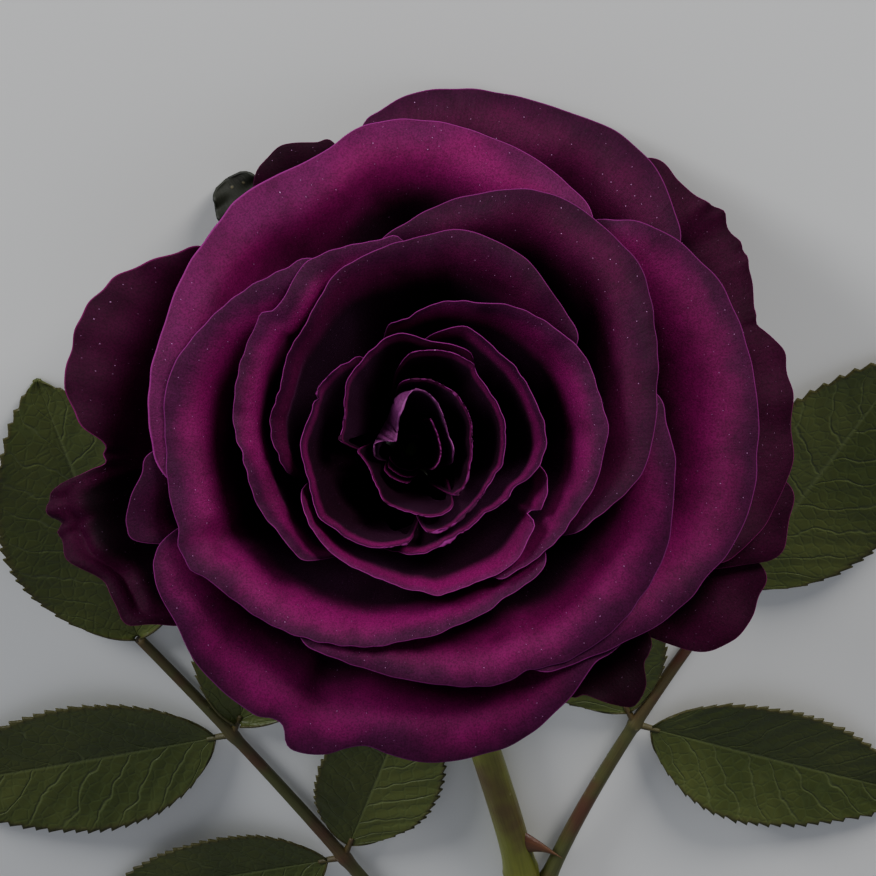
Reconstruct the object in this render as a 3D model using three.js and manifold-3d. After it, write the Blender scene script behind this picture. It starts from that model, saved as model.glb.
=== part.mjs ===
// A cut rose lying on a table: an open bloom of many petals on a curved neck, its five sepals, the hip that
// they grow from, a prickly stem and three compound leaves. Millimetres, +Z up, the table is z = 0, and the
// stem lies along -Y. The bloom rests on its outermost petals and looks up along a leaning axis.
import * as THREE from "three";
import { mergeVertices } from "three/addons/utils/BufferGeometryUtils.js";
import Module from "manifold-3d";

const wasm = await Module();
wasm.setup();

// Driving dimensions.
const bloomRadius = 55; // from the bloom's axis to the tip of its furthest petals
const bloomDepth = 42; // from the petals' roots to the highest rims
const bloomLean = 40; // degrees between the bloom's axis and the vertical
const petalThickness = 0.35;
const sepalThickness = 0.5;
const leafThickness = 0.5;
const touchGap = 0.3; // between pieces that touch
const hipRadius = 6.4; // where the outer petals stand on it
const hipDomeHeight = 15; // the rise of the hip inside the bloom
const hipLength = 10; // below the petals
const neckRadius = 2.2; // where the stem meets the hip
const stemRadius = 2.9; // at the cut end
const stemLength = 235; // along Y, from the hip to the cut end
const neckLength = 34; // of the curve that lifts the bloom off the table, along Y
const rachisRadius = 0.9; // the stalk of a compound leaf
const leafletLength = 50; // of the leaflet at a leaf's tip
const leafletWidth = 28;
const prickleLength = 5;

const drawnRadius = 55; // the bloom radius that the petals' rows below are drawn at
const innermost = 1.2; // the nest radius of the tightest roll
const outermost = 68; // the nest radius just outside the lowest sepal

const radians = THREE.MathUtils.degToRad;
const smooth = THREE.MathUtils.smoothstep;
const bloomScale = bloomRadius / drawnRadius;

// A petal row is [angle in degrees, nest, reach]. The nest is the radius that the petal's sheet would reach at
// full length, and a smaller nest lies inside a larger one everywhere, so sheets never cross. The reach is
// where the rim really is, so a reach under the nest is an edge tucked behind its neighbour.
const petals = {
  guard_petal_right: [
    [334, 50.5, 32.3], [338, 51, 40], [341, 51.3, 47], [346, 52.3, 50.5], [354, 53.4, 53.2], [4, 54, 54],
    [14, 54.7, 54.7], [20, 52.6, 52.5], [26, 54, 54], [36, 55.3, 55.3], [41, 54.5, 54.3], [50, 54.9, 53.3],
    [56, 55.8, 40], [62, 56, 35.8],
  ],
  guard_petal_lower_right: [
    [332, 56, 35.8], [337, 56.2, 40], [341, 56.4, 50], [346, 56.5, 54.2], [352, 56.5, 53.8], [358, 56.5, 44],
    [4, 56.8, 36.4],
  ],
  guard_petal_tail: [
    [317, 58.5, 37.4], [321, 58.5, 38], [325, 58.5, 49.5], [330, 58.5, 53.2], [336, 58.5, 53.9], [341, 58.5, 51.5],
    [345, 58.5, 40], [350, 58.5, 37.4],
  ],
  guard_petal_dark: [
    [296, 50, 32], [301, 50, 33], [305, 50, 42.5], [309, 50, 46.4], [312, 50, 47.6], [317, 50, 45.6],
    [321, 50, 42.5], [325, 50, 33], [329, 50, 32],
  ],
  guard_petal_left: [
    [124, 51.5, 33], [131, 51.5, 32], [136, 51.5, 41.2], [143, 51.5, 45], [150, 51.5, 48.4], [158, 51.5, 50.1],
    [166, 51.5, 49.7], [173, 51.5, 48], [178, 51.5, 43.6], [181.5, 51.5, 42.6], [185, 52, 48.5],
    [189, 52.5, 51.6], [196, 52.5, 50.8], [204, 52, 46.7], [211, 51.5, 46], [216, 51.5, 41.5], [221, 51.5, 30],
    [227, 51.5, 33],
  ],
  guard_petal_top: [
    [98, 50.4, 32.3], [102, 50.4, 38], [105, 50.4, 44.6], [111, 50.4, 46.2], [117, 50.4, 45.4], [121, 50.4, 42.8],
    [125, 50.2, 34], [130, 50, 32],
  ],
  guard_petal_bottom: [
    [196, 39.2, 25.3], [199, 39.5, 34], [203, 40, 39], [210, 40.6, 40.4], [218, 41.3, 41.2], [226, 42.2, 42.2],
    [236, 42.7, 42.7], [244, 42.6, 42.5], [250, 44.8, 44.8], [256, 43.6, 43.4], [262, 42, 42],
    [270, 43.3, 43.3], [282, 43.8, 43.8], [293, 43.3, 43.2], [303, 42, 41.1], [311, 41.6, 39.3],
    [318, 43.2, 39.6], [326, 44.8, 32], [334, 47, 30.1],
  ],
  tucked_petal_left: [
    [170, 38.4, 24.6], [177, 38.4, 31], [183, 38.6, 36.8], [189, 40, 39.4], [194, 41.5, 40.8], [198, 42, 40.8],
    [202, 42, 34], [207, 42, 26.9],
  ],
  outer_petal_top: [
    [28, 51.4, 32.9], [33, 51.4, 40], [38, 51.5, 47.8], [43, 51.9, 50.6], [50, 53, 53], [56, 53.7, 53.7],
    [65, 52.6, 52.6], [75, 52, 52], [83, 51.1, 51.1], [90, 50, 50], [95, 48.7, 48], [99, 48.3, 45.6],
    [104, 48.2, 34], [109, 48, 30.7],
  ],
  outer_petal_right: [
    [288, 37.2, 23.8], [295, 37.3, 30], [300, 37.4, 35.4], [308, 38.9, 37.9], [318, 40.8, 40.3],
    [332, 44.3, 44.3], [342, 46.8, 46.8], [355, 48.6, 48.6], [18, 49.6, 49.6], [30, 49.2, 49.2],
    [38, 48, 47.8], [46, 46.4, 44.8], [51, 46, 41.8], [58, 46, 30], [66, 46, 29.4],
  ],
  outer_petal_upper_left: [
    [37, 43.3, 27.7], [45, 43.2, 34], [52, 43.2, 41.6], [60, 43.7, 43.4], [70, 44.8, 44.8], [85, 46.2, 46.2],
    [97, 46, 46], [105, 43.9, 43.9], [115, 42.7, 42.7], [125, 42.5, 42.5], [135, 41.2, 41.2], [150, 38.8, 38.8],
    [165, 37.5, 37.5], [178, 36.3, 36.1], [187, 36.3, 34.4], [196, 36.5, 26], [204, 36.7, 23.5],
  ],
  middle_petal_upper_right: [
    [317, 27.5, 17.6], [325, 27.2, 18], [333, 27, 25.5], [340, 28.3, 27.6], [345, 29.6, 29.2], [355, 32.8, 32.8],
    [5, 34.2, 34.2], [13, 35.3, 35.3], [20, 36.7, 36.7], [33, 39.8, 39.8], [40, 41.2, 41.2], [50, 41.5, 41.5],
    [60, 41, 41], [70, 38.5, 38.5], [80, 35.4, 35.4], [90, 33.6, 32], [98, 33.4, 29.5], [104, 33.8, 19],
    [111, 34, 21.8],
  ],
  middle_petal_left: [
    [99, 31.8, 20.4], [108, 31.6, 22], [117, 31.5, 30], [125, 31.3, 30.6], [140, 32.5, 32.5], [152, 34, 34],
    [164, 35, 35], [175, 34.5, 34.5], [186, 34, 34], [198, 33.9, 33.9], [205, 34.9, 34.9], [212, 33.5, 33.5],
    [225, 31.8, 31.8], [240, 30, 30], [255, 28.2, 28.2], [270, 26.3, 26.3], [283, 25.3, 25.3],
    [300, 25, 24.6], [315, 25, 24.4], [325, 25.2, 23.6], [332, 25.7, 17], [340, 26.4, 16.9],
  ],
  middle_petal_lower_right: [
    [220, 34.2, 21.9], [230, 33, 22], [240, 31.9, 30.3], [250, 31.2, 30.7], [260, 31.2, 31.2], [270, 32, 32],
    [285, 34, 34], [293, 35, 35], [298, 34.8, 34.8], [308, 36.8, 36.8], [318, 37.7, 37.7], [330, 38.4, 38.4],
    [340, 38.2, 38.2], [350, 37.3, 37.3], [360, 37, 36.8], [13, 37.3, 35.4], [22, 39, 25], [31, 41, 26.2],
  ],
  middle_petal_ring_top: [
    [18, 29.5, 18.9], [26, 29.5, 20], [33, 29.5, 27.8], [42, 29.8, 29], [50, 30, 29.8], [60, 31.1, 31.1],
    [75, 31.5, 31.5], [85, 30, 30], [97, 28.5, 28.5], [112, 26.7, 26.7], [120, 24.7, 24.7], [128, 23, 23],
    [140, 21.6, 21.6], [160, 20, 20], [178, 18.8, 18.8], [190, 18.6, 17], [198, 18.8, 12], [206, 19, 12.2],
  ],
  middle_petal_ring_left: [
    [82, 32.4, 20.7], [87, 31.7, 22], [92, 30.9, 29.2], [100, 30.2, 29.5], [117, 29.9, 29.9], [125, 28.5, 28.5],
    [131, 27.4, 27.4], [137, 28, 28], [150, 26.7, 26.7], [165, 25.3, 25.3], [180, 23.6, 23.6],
    [200, 22.2, 22.2], [220, 21.4, 21.4], [228, 21.4, 20.5], [237, 21.6, 15], [246, 21.8, 14],
  ],
  middle_petal_ring_right: [
    [293, 22.2, 14.6], [299, 22.3, 16], [304, 22.4, 21.6], [310, 22.6, 22.2], [320, 23.1, 23], [330, 24, 24],
    [340, 24.9, 24.9], [350, 26.2, 26.2], [360, 27, 27], [7, 27.8, 27.8], [20, 27.4, 27.4], [33, 27.3, 27.3],
    [45, 25.8, 25.8], [65, 22.8, 22.8], [75, 21.2, 21.2], [85, 19.9, 19.5], [98, 19.2, 17.9], [107, 19, 13],
    [116, 19, 12.2],
  ],
  middle_petal_ring_bottom: [
    [187, 16.7, 10.7], [194, 16.8, 12], [200, 16.9, 16], [210, 17.1, 17], [230, 17.6, 17.6], [250, 18.1, 18.1],
    [265, 19, 19], [275, 19.6, 19.6], [283, 20.6, 20.6], [295, 20.5, 20.5], [318, 21.2, 21.2],
    [328, 20.5, 20.4], [333, 20.4, 18.9], [337, 20.4, 19.8], [350, 20.5, 18.8], [358, 20.6, 14], [6, 20.7, 13.2],
  ],
  inner_petal_right: [
    [235, 16.4, 10.5], [243, 16.1, 11], [252, 15.8, 14.3], [262, 15.1, 14.3], [270, 14.6, 14.2], [285, 14, 14],
    [305, 13.5, 13.5], [319, 13.5, 13.5], [326, 14.4, 14.4], [338, 15.3, 15.3], [347, 17, 17], [357, 18.6, 18.6],
    [15, 18.8, 18.8], [45, 18.6, 18.6], [63, 18.6, 18.6], [70, 18, 18], [78, 17.6, 16.8], [86, 17.7, 12],
    [94, 17.7, 11.3],
  ],
  inner_petal_left: [
    [103, 17.1, 10.9], [110, 16.6, 11], [117, 16.1, 14.6], [126, 15.5, 15.1], [142, 15.2, 15.2], [152, 15.2, 15.2],
    [162, 14.8, 14.8], [178, 15.3, 15.3], [198, 14.6, 14.6], [218, 15.8, 15.8], [226, 15.2, 15.2],
    [245, 14.6, 14.6], [262, 13.4, 13.4], [270, 12.9, 12.7], [276, 12.9, 10], [283, 12.9, 8.3],
  ],
  inner_petal_top: [
    [43, 16.3, 10.4], [50, 16.3, 12], [57, 16.2, 15.4], [66, 16, 15.8], [82, 15.8, 15.7], [94, 16.2, 16.2],
    [105, 15.5, 15.5], [120, 14, 14], [130, 13.3, 13.3], [140, 11.8, 11.8], [150, 10.4, 10.4], [160, 9.9, 9.9],
    [170, 9.9, 9.9], [176, 9.4, 8.6], [182, 9.3, 6], [188, 9.3, 6],
  ],
  inner_petal_ring: [
    [267, 11, 7], [274, 11.2, 9], [281, 11.7, 11.6], [295, 12, 12], [315, 11.8, 11.8], [333, 11.9, 11.9],
    [350, 12.8, 12.8], [10, 13.6, 13.6], [30, 13.8, 13.8], [47, 14.2, 14.2], [54, 14.8, 14.8], [68, 14.6, 14.6],
    [80, 14.1, 14.1], [90, 13.4, 13.4], [97, 12.7, 12], [103, 12.5, 9], [110, 12.3, 7.9],
  ],
  inner_petal_bottom: [
    [165, 7.9, 5.1], [172, 7.8, 6], [180, 7.6, 7.4], [192, 6.8, 6.8], [208, 6.4, 6.4], [222, 6.8, 6.8],
    [240, 7.8, 7.8], [260, 8.4, 8.4], [278, 9.1, 9.1], [294, 10, 10], [306, 10.2, 10.1], [314, 10.4, 8],
    [322, 10.5, 6.7],
  ],
  heart_petal_right: [
    [299, 8.3, 5.3], [306, 8.5, 6.5], [314, 8.9, 8.8], [324, 9.1, 9.1], [345, 8.7, 8.7], [10, 8.8, 8.8],
    [30, 9.6, 9.6], [50, 10, 10], [70, 10.2, 10.2], [88, 9.9, 9.9], [100, 9.9, 9.2], [108, 10, 7], [117, 10, 6.4],
  ],
  heart_petal_top: [
    [326, 6.6, 4.2], [334, 6.6, 5], [344, 6.5, 6.3], [2, 6.1, 6.1], [20, 5.9, 5.9], [40, 6.3, 6.3],
    [60, 7.6, 7.6], [80, 8.5, 8.5], [96, 8.4, 8.4], [110, 7.4, 7.4], [124, 6, 6], [140, 5.2, 5.2],
    [165, 5.1, 5.1], [190, 5.2, 5.1], [203, 5.1, 4], [214, 5, 3.2],
  ],
  heart_petal_fold: [
    [296, 4.4, 2.8], [306, 4.3, 3], [318, 4.2, 4.1], [340, 4.3, 4.3], [15, 4.3, 4.3], [40, 4.6, 4.6],
    [57, 5.2, 5.2], [68, 5.7, 5], [78, 5.9, 3.5], [88, 5.8, 3.7],
  ],
  heart_petal_low: [
    [176, 3, 1.9], [188, 3.1, 2.6], [200, 3.1, 3.1], [240, 2.9, 2.9], [280, 2.8, 2.8], [305, 2.7, 2.5],
    [322, 2.6, 1.7],
  ],
  heart_petal_roll: [
    [22, 2.5, 1.6], [36, 2.4, 2.1], [60, 2.2, 2.2], [90, 2.1, 2.1], [118, 2.3, 2.3], [136, 2.8, 2.7],
    [150, 3.2, 2.4], [162, 3.3, 2.1],
  ],
};

// A sepal row is [angle, nest, reach]. Sepals lie on sheets of their own, below the lowest petal.
const sepals = [[52, 63, 34], [124, 61, 46.5], [196, 66, 40], [268, 67, 37], [340, 65, 36]];
const sepalHalfWidth = 5;

// A smooth curve through [angle, value...] rows, for one column.
function curveThrough(rows, column) {
  const slope = (i, j) => (rows[j][column] - rows[i][column]) / (rows[j][0] - rows[i][0]);
  const tangents = rows.map((_, i) => {
    if (i === 0) return slope(0, 1);
    if (i === rows.length - 1) return slope(i - 1, i);
    return (slope(i - 1, i) + slope(i, i + 1)) / 2;
  });
  return (angle) => {
    let i = rows.findIndex((row) => row[0] > angle) - 1;
    if (i === -2) i = rows.length - 2;
    i = Math.max(0, i);
    const span = rows[i + 1][0] - rows[i][0];
    const s = THREE.MathUtils.clamp((angle - rows[i][0]) / span, 0, 1);
    const start = rows[i][column];
    const end = rows[i + 1][column];
    const easeIn = (s - 2 * s * s + s * s * s) * span * tangents[i];
    const easeOut = (s * s * s - s * s) * span * tangents[i + 1];
    return start + (end - start) * s * s * (3 - 2 * s) + easeIn + easeOut;
  };
}

// Rows whose angles pass 360 go on counting up from there.
function unwrapped(rows) {
  let turn = 0;
  return rows.map((row, i) => {
    if (i > 0 && row[0] < rows[i - 1][0]) turn = 360;
    return [row[0] + turn, row[1], row[2]];
  });
}

// The section of the sheet at one nest radius: [radius, height] at s from 0, its root on the hip, to 1, its rim.
function section(nest, s) {
  const share = nest / drawnRadius;
  const rootRadius = 1 + (hipRadius - 1) * Math.pow(share, 0.9);
  const rootHeight = hipDomeHeight * (1 - share);
  const rootAngle = radians(20 + 60 * smooth(nest, 0, 45));
  const rimAngle = radians(3 + 122 * smooth(nest, 6, 42));
  const rimHeight = bloomDepth * (1 - 0.000571 * (nest - 20) ** 2);
  const rimRadius = nest * bloomScale;
  const rootPull = (6 + 0.55 * nest) * bloomScale;
  const rimPull = (1 + 15 * smooth(nest, 10, 44)) * bloomScale;
  const bezier = (a, b, c, d) =>
    a * (1 - s) ** 3 + 3 * b * s * (1 - s) ** 2 + 3 * c * s * s * (1 - s) + d * s ** 3;
  return [
    bezier(
      rootRadius,
      rootRadius + rootPull * Math.sin(rootAngle),
      rimRadius - rimPull * Math.sin(rimAngle),
      rimRadius,
    ),
    bezier(
      rootHeight,
      rootHeight + rootPull * Math.cos(rootAngle),
      rimHeight - rimPull * Math.cos(rimAngle),
      rimHeight,
    ),
  ];
}

// Where along the section the sheet has reached a radius.
function shareAtReach(nest, reach) {
  if (reach >= nest) return 1;
  let low = 0;
  let high = 1;
  for (let i = 0; i < 30; i += 1) {
    const middle = (low + high) / 2;
    if (section(nest, middle)[0] < reach * bloomScale) low = middle;
    else high = middle;
  }
  return (low + high) / 2;
}

// A point of a sheet, in the bloom's own frame, with +Z along its axis.
function sheetPoint(degrees, nest, s) {
  const [radius, height] = section(nest, s);
  return new THREE.Vector3(
    radius * Math.cos(radians(degrees)),
    radius * Math.sin(radians(degrees)),
    height,
  );
}

// A closed thin solid from a grid of middle points, thickened along the grid's own normals. The taper, if there
// is one, gives the share of the thickness at each point.
function thinSolid(grid, thickness, taper = () => 1) {
  const columns = grid.length;
  const rows = grid[0].length;
  const side = (offset) =>
    grid.map((column, i) =>
      column.map((point, j) => {
        const alongColumns = grid[Math.min(i + 1, columns - 1)][j].clone().sub(grid[Math.max(i - 1, 0)][j]);
        const alongRows = column[Math.min(j + 1, rows - 1)].clone().sub(column[Math.max(j - 1, 0)]);
        const normal = alongColumns.cross(alongRows).normalize();
        return point.clone().addScaledVector(normal, offset * taper(i, j));
      }),
    );
  const faces = [side(thickness / 2), side(-thickness / 2)];
  const positions = [];
  const index = [];
  faces.forEach((face) => face.forEach((column) => column.forEach((p) => positions.push(p.x, p.y, p.z))));
  const at = (face, i, j) => (face * columns + i) * rows + j;
  const quad = (a, b, c, d) => index.push(a, b, c, a, c, d);
  for (let i = 0; i < columns - 1; i += 1)
    for (let j = 0; j < rows - 1; j += 1) {
      quad(at(0, i, j), at(0, i + 1, j), at(0, i + 1, j + 1), at(0, i, j + 1));
      quad(at(1, i, j), at(1, i, j + 1), at(1, i + 1, j + 1), at(1, i + 1, j));
    }
  for (let i = 0; i < columns - 1; i += 1) {
    quad(at(0, i, 0), at(1, i, 0), at(1, i + 1, 0), at(0, i + 1, 0));
    quad(at(0, i, rows - 1), at(0, i + 1, rows - 1), at(1, i + 1, rows - 1), at(1, i, rows - 1));
  }
  for (let j = 0; j < rows - 1; j += 1) {
    quad(at(0, 0, j), at(0, 0, j + 1), at(1, 0, j + 1), at(1, 0, j));
    quad(at(0, columns - 1, j), at(1, columns - 1, j), at(1, columns - 1, j + 1), at(0, columns - 1, j + 1));
  }
  const geometry = new THREE.BufferGeometry();
  geometry.setAttribute("position", new THREE.Float32BufferAttribute(positions, 3));
  geometry.setIndex(index);
  return geometry;
}

function named(name, geometry, material) {
  const mesh = new THREE.Mesh(geometry, material);
  mesh.name = name;
  return mesh;
}

const finish = (color, roughness) => new THREE.MeshStandardMaterial({ color, roughness, metalness: 0 });
const petalMaterial = finish(0x4a0736, 0.8);
const darkPetalMaterial = finish(0x1c0612, 0.85);
const sepalMaterial = finish(0x2f3d1c, 0.7);
const hipMaterial = finish(0x4f6428, 0.6);
const stemMaterial = finish(0x4a5a22, 0.5);
const leafMaterial = finish(0x2c421b, 0.55);
const stalkMaterial = finish(0x6a4a2c, 0.6);

const bloom = new THREE.Group();

// Petals. Every sheet has its columns at the same round angles, so that neighbours' flat faces nest too.
const columnStep = (nest) => (nest > 22 ? 10 : 15); // degrees
const clawShare = 0.2; // the share of a petal's width that reaches down to the hip
const sideLift = 0.75; // where a side edge starts, as a share of its rim
const petalSteps = (nest) => (nest > 22 ? 9 : 6);
const rootThickness = 0.55; // a sheet's thickness at its root, as a share of its full thickness

function columnAngles(first, last, step) {
  const angles = [first];
  for (let a = Math.ceil(first / step) * step; a < last; a += step)
    if (a - first > 1.5 && last - a > 1.5) angles.push(a);
  return [...angles, last];
}

function petal(name, drawnRows) {
  const rows = unwrapped(drawnRows);
  const nestAt = curveThrough(rows, 1);
  const reachAt = curveThrough(rows, 2);
  const first = rows[0][0];
  const last = rows[rows.length - 1][0];
  const middle = (first + last) / 2;
  const steps = petalSteps(nestAt(middle));
  const grid = columnAngles(first, last, columnStep(nestAt(middle))).map((angle) => {
    const nest = nestAt(angle);
    const rim = shareAtReach(nest, Math.min(reachAt(angle), nest));
    const aside = Math.abs(angle - middle) / (last - middle);
    const start = rim * sideLift * smooth(aside, clawShare, 1);
    return Array.from({ length: steps + 1 }, (_, j) =>
      sheetPoint(angle, nest, start + ((rim - start) * j) / steps));
  });
  const taper = (_, j) => rootThickness + (1 - rootThickness) * Math.min(1, (2 * j) / steps);
  const material = name === "guard_petal_dark" ? darkPetalMaterial : petalMaterial;
  bloom.add(named(name, thinSolid(grid, petalThickness, taper), material));
}

Object.entries(petals).forEach(([name, rows]) => petal(name, rows));

// Sepals.
function sepal(number, [angle, nest, reach]) {
  const end = shareAtReach(nest, reach);
  const steps = 7;
  const grid = [];
  for (let i = 0; i <= 4; i += 1) {
    const across = i / 2 - 1;
    const column = [];
    for (let j = 0; j <= steps; j += 1) {
      const along = j / steps;
      const s = end * along;
      const radius = section(nest, s)[0];
      const taper = 0.12 + 0.88 * Math.pow(1 - along, 0.8) * (0.75 + 0.25 * smooth(along, 0, 0.25));
      const turn = THREE.MathUtils.radToDeg((across * sepalHalfWidth * taper) / radius);
      column.push(sheetPoint(angle + turn, nest, s));
    }
    grid.push(column);
  }
  bloom.add(named("sepal_" + number, thinSolid(grid, sepalThickness), sepalMaterial));
}

sepals.forEach((row, i) => sepal(i + 1, row));

// The hip: a dome that the sheets stand on, a gap away, and an urn below it.
function hip() {
  const dome = [];
  for (let i = 0; i <= 8; i += 1) {
    const nest = innermost + ((outermost - innermost) * i) / 8;
    const [radius, height] = section(nest, 0);
    const [r0, z0] = section(nest - 0.5, 0);
    const [r1, z1] = section(nest + 0.5, 0);
    const inwards = new THREE.Vector2(z1 - z0, r0 - r1).setLength(touchGap + petalThickness / 2);
    dome.push(new THREE.Vector2(Math.max(radius + inwards.x, 0.3 * (i + 1)), height + inwards.y));
  }
  const rim = dome[dome.length - 1];
  const crown = new THREE.Vector2(0, dome[0].y);
  const urn = [
    new THREE.Vector2(rim.x * 0.98, rim.y - 0.16 * hipLength),
    new THREE.Vector2(rim.x * 0.86, rim.y - 0.4 * hipLength),
    new THREE.Vector2(rim.x * 0.62, rim.y - 0.68 * hipLength),
    new THREE.Vector2(neckRadius * 1.15, rim.y - 0.92 * hipLength),
    new THREE.Vector2(neckRadius, rim.y - hipLength),
    new THREE.Vector2(0, rim.y - hipLength),
  ];
  const geometry = new THREE.LatheGeometry([crown, ...dome, ...urn].reverse(), 16).rotateX(Math.PI / 2);
  bloom.add(named("hip", geometry, hipMaterial));
  return rim.y - hipLength;
}

const hipBase = hip();

// The bloom leans forwards, and its lowest petal touches the table.
bloom.rotation.x = -radians(bloomLean);
bloom.updateMatrixWorld(true);
bloom.position.z = -new THREE.Box3().setFromObject(bloom, true).min.z;
bloom.updateMatrixWorld(true);

const rose = new THREE.Group();
rose.add(bloom);

// The stem: a straight run on the table that bends up into the neck and meets the hip.
const stemRest = stemRadius; // the height of its axis where it lies
const neckTop = new THREE.Vector3(0, 0, hipBase - touchGap).applyMatrix4(bloom.matrixWorld);
const bloomAxis = new THREE.Vector3(0, 0, 1).transformDirection(bloom.matrixWorld);
const stemEnd = neckTop.y - stemLength;
const stemSway = [[-34, 3.5], [-62, 8.5], [-98, 16.5], [-140, 20], [-185, 22.5], [-215, 18]];

const stemPath = new THREE.CatmullRomCurve3(
  [
    neckTop,
    neckTop.clone().addScaledVector(bloomAxis, -0.22 * neckLength),
    new THREE.Vector3(1.6, neckTop.y - 0.62 * neckLength, stemRest + 0.18 * (neckTop.z - stemRest)),
    ...stemSway.map(([y, x]) => new THREE.Vector3(x, y, stemRest)),
    new THREE.Vector3(15, stemEnd, stemRest),
  ],
  false,
  "centripetal",
);

const nodeHeights = [-98, -140, -190]; // along Y, where the leaves grow

function stemRadiusAt(point) {
  const share = THREE.MathUtils.clamp((neckTop.y - point.y) / stemLength, 0, 1);
  const plain = neckRadius + (stemRadius - 0.4 - neckRadius) * share;
  const swelling = nodeHeights.reduce((sum, y) => sum + 0.4 * Math.exp(-(((point.y - y) / 3.5) ** 2)), 0);
  return plain + Math.min(swelling, 0.4);
}

// A closed tube of changing radius along a curve.
function taperedTube(curve, radiusAt, steps, sides) {
  const frames = curve.computeFrenetFrames(steps, false);
  const positions = [];
  const index = [];
  for (let i = 0; i <= steps; i += 1) {
    const centre = curve.getPointAt(i / steps);
    const radius = radiusAt(centre, i / steps);
    for (let k = 0; k < sides; k += 1) {
      const turn = (2 * Math.PI * k) / sides;
      const p = centre
        .clone()
        .addScaledVector(frames.normals[i], radius * Math.cos(turn))
        .addScaledVector(frames.binormals[i], radius * Math.sin(turn));
      positions.push(p.x, p.y, p.z);
    }
  }
  for (let i = 0; i < steps; i += 1)
    for (let k = 0; k < sides; k += 1) {
      const a = i * sides + k;
      const b = i * sides + ((k + 1) % sides);
      index.push(a, b, b + sides, a, b + sides, a + sides);
    }
  for (const end of [0, steps]) {
    const centre = curve.getPointAt(end / steps);
    const apex = positions.length / 3;
    positions.push(centre.x, centre.y, centre.z);
    for (let k = 0; k < sides; k += 1) {
      const a = end * sides + k;
      const b = end * sides + ((k + 1) % sides);
      index.push(...(end === 0 ? [apex, b, a] : [apex, a, b]));
    }
  }
  const geometry = new THREE.BufferGeometry();
  geometry.setAttribute("position", new THREE.Float32BufferAttribute(positions, 3));
  geometry.setIndex(index);
  return geometry;
}

// A three.js geometry as a manifold-3d solid, and back.
function toSolid(geometry) {
  const bare = geometry.clone();
  bare.deleteAttribute("normal");
  bare.deleteAttribute("uv");
  const merged = mergeVertices(bare, 1e-4);
  return new wasm.Manifold(
    new wasm.Mesh({
      numProp: 3,
      vertProperties: new Float32Array(merged.attributes.position.array),
      triVerts: new Uint32Array(merged.index.array),
    }),
  );
}

function toGeometry(solid) {
  const mesh = solid.getMesh();
  const geometry = new THREE.BufferGeometry();
  geometry.setAttribute("position", new THREE.Float32BufferAttribute(mesh.vertProperties, 3));
  geometry.setIndex([...mesh.triVerts]);
  return geometry;
}

// Prickle rows: [share along the stem, degrees round it from straight up towards +X].
const prickles = [[0.36, 70], [0.46, -62], [0.57, 35], [0.66, -75], [0.74, 60], [0.83, -30], [0.91, 72]];

function prickle([share, turn]) {
  const centre = stemPath.getPointAt(share);
  const along = stemPath.getTangentAt(share);
  const outwards = new THREE.Vector3(Math.sin(radians(turn)), 0, Math.cos(radians(turn)));
  outwards.addScaledVector(along, -outwards.dot(along)).normalize();
  const radius = stemRadiusAt(centre);
  const cone = new THREE.ConeGeometry(1.3, prickleLength + radius, 8);
  cone.translate(0, (prickleLength + radius) / 2, 0);
  const aim = outwards.clone().addScaledVector(along, 0.35).normalize();
  cone.applyQuaternion(new THREE.Quaternion().setFromUnitVectors(new THREE.Vector3(0, 1, 0), aim));
  cone.translate(centre.x, centre.y, centre.z);
  return toSolid(cone);
}

const stemSolid = prickles.reduce(
  (solid, row) => solid.add(prickle(row)),
  toSolid(taperedTube(stemPath, stemRadiusAt, 44, 12)),
);
rose.add(named("stem", toGeometry(stemSolid), stemMaterial));

// Compound leaves. side is +1 on the stem's right. Headings are degrees from +X; each pair row is
// [share along the stalk, heading of the right leaflet, of the left one, size against the end leaflet].
const leaves = [
  { name: "leaf_right", node: -98, side: 1, tip: [47, -42], heading: 60, pairs: [[0.52, -20, 112, 0.84]] },
  { name: "leaf_left", node: -140, side: -1, tip: [-40, -52], heading: 106,
    pairs: [[0.78, 71, 194, 0.9], [0.5, 72, 194, 0.68]] },
  { name: "leaf_low", node: -190, side: 1, tip: [72, -134], heading: 48,
    pairs: [[0.8, -22, 112, 0.86], [0.42, -30, 104, 0.72]] },
];

function stemPointAtY(y) {
  let low = 0;
  let high = 1;
  for (let i = 0; i < 40; i += 1) {
    const middle = (low + high) / 2;
    if (stemPath.getPointAt(middle).y > y) low = middle;
    else high = middle;
  }
  return stemPath.getPointAt(low);
}

// A leaflet: an oval blade, folded a little along its midrib, that comes down to the table at its tip.
function leaflet(name, base, heading, size) {
  const length = leafletLength * size;
  const halfWidth = (leafletWidth * size) / 2;
  const along = new THREE.Vector3(Math.cos(radians(heading)), Math.sin(radians(heading)), 0);
  const across = new THREE.Vector3(-along.y, along.x, 0);
  const lengthSteps = 8;
  const grid = [];
  for (let i = 0; i <= 4; i += 1) {
    const q = i / 2 - 1;
    const column = [];
    for (let j = 0; j <= lengthSteps; j += 1) {
      const s = j / lengthSteps;
      const width = halfWidth * Math.max(0.05, Math.pow(Math.sin(Math.PI * Math.pow(s, 0.82)), 0.75));
      const rise = (base.z - leafThickness) * (1 - s) ** 2 + leafThickness / 2 + 0.1;
      const fold = 0.12 * Math.abs(q) * width + 0.5 * Math.sin(Math.PI * s);
      const p = base.clone().addScaledVector(along, length * s).addScaledVector(across, -width * q);
      p.z = rise + fold;
      column.push(p);
    }
    grid.push(column);
  }
  rose.add(named(name, thinSolid(grid, leafThickness), leafMaterial));
}

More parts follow.
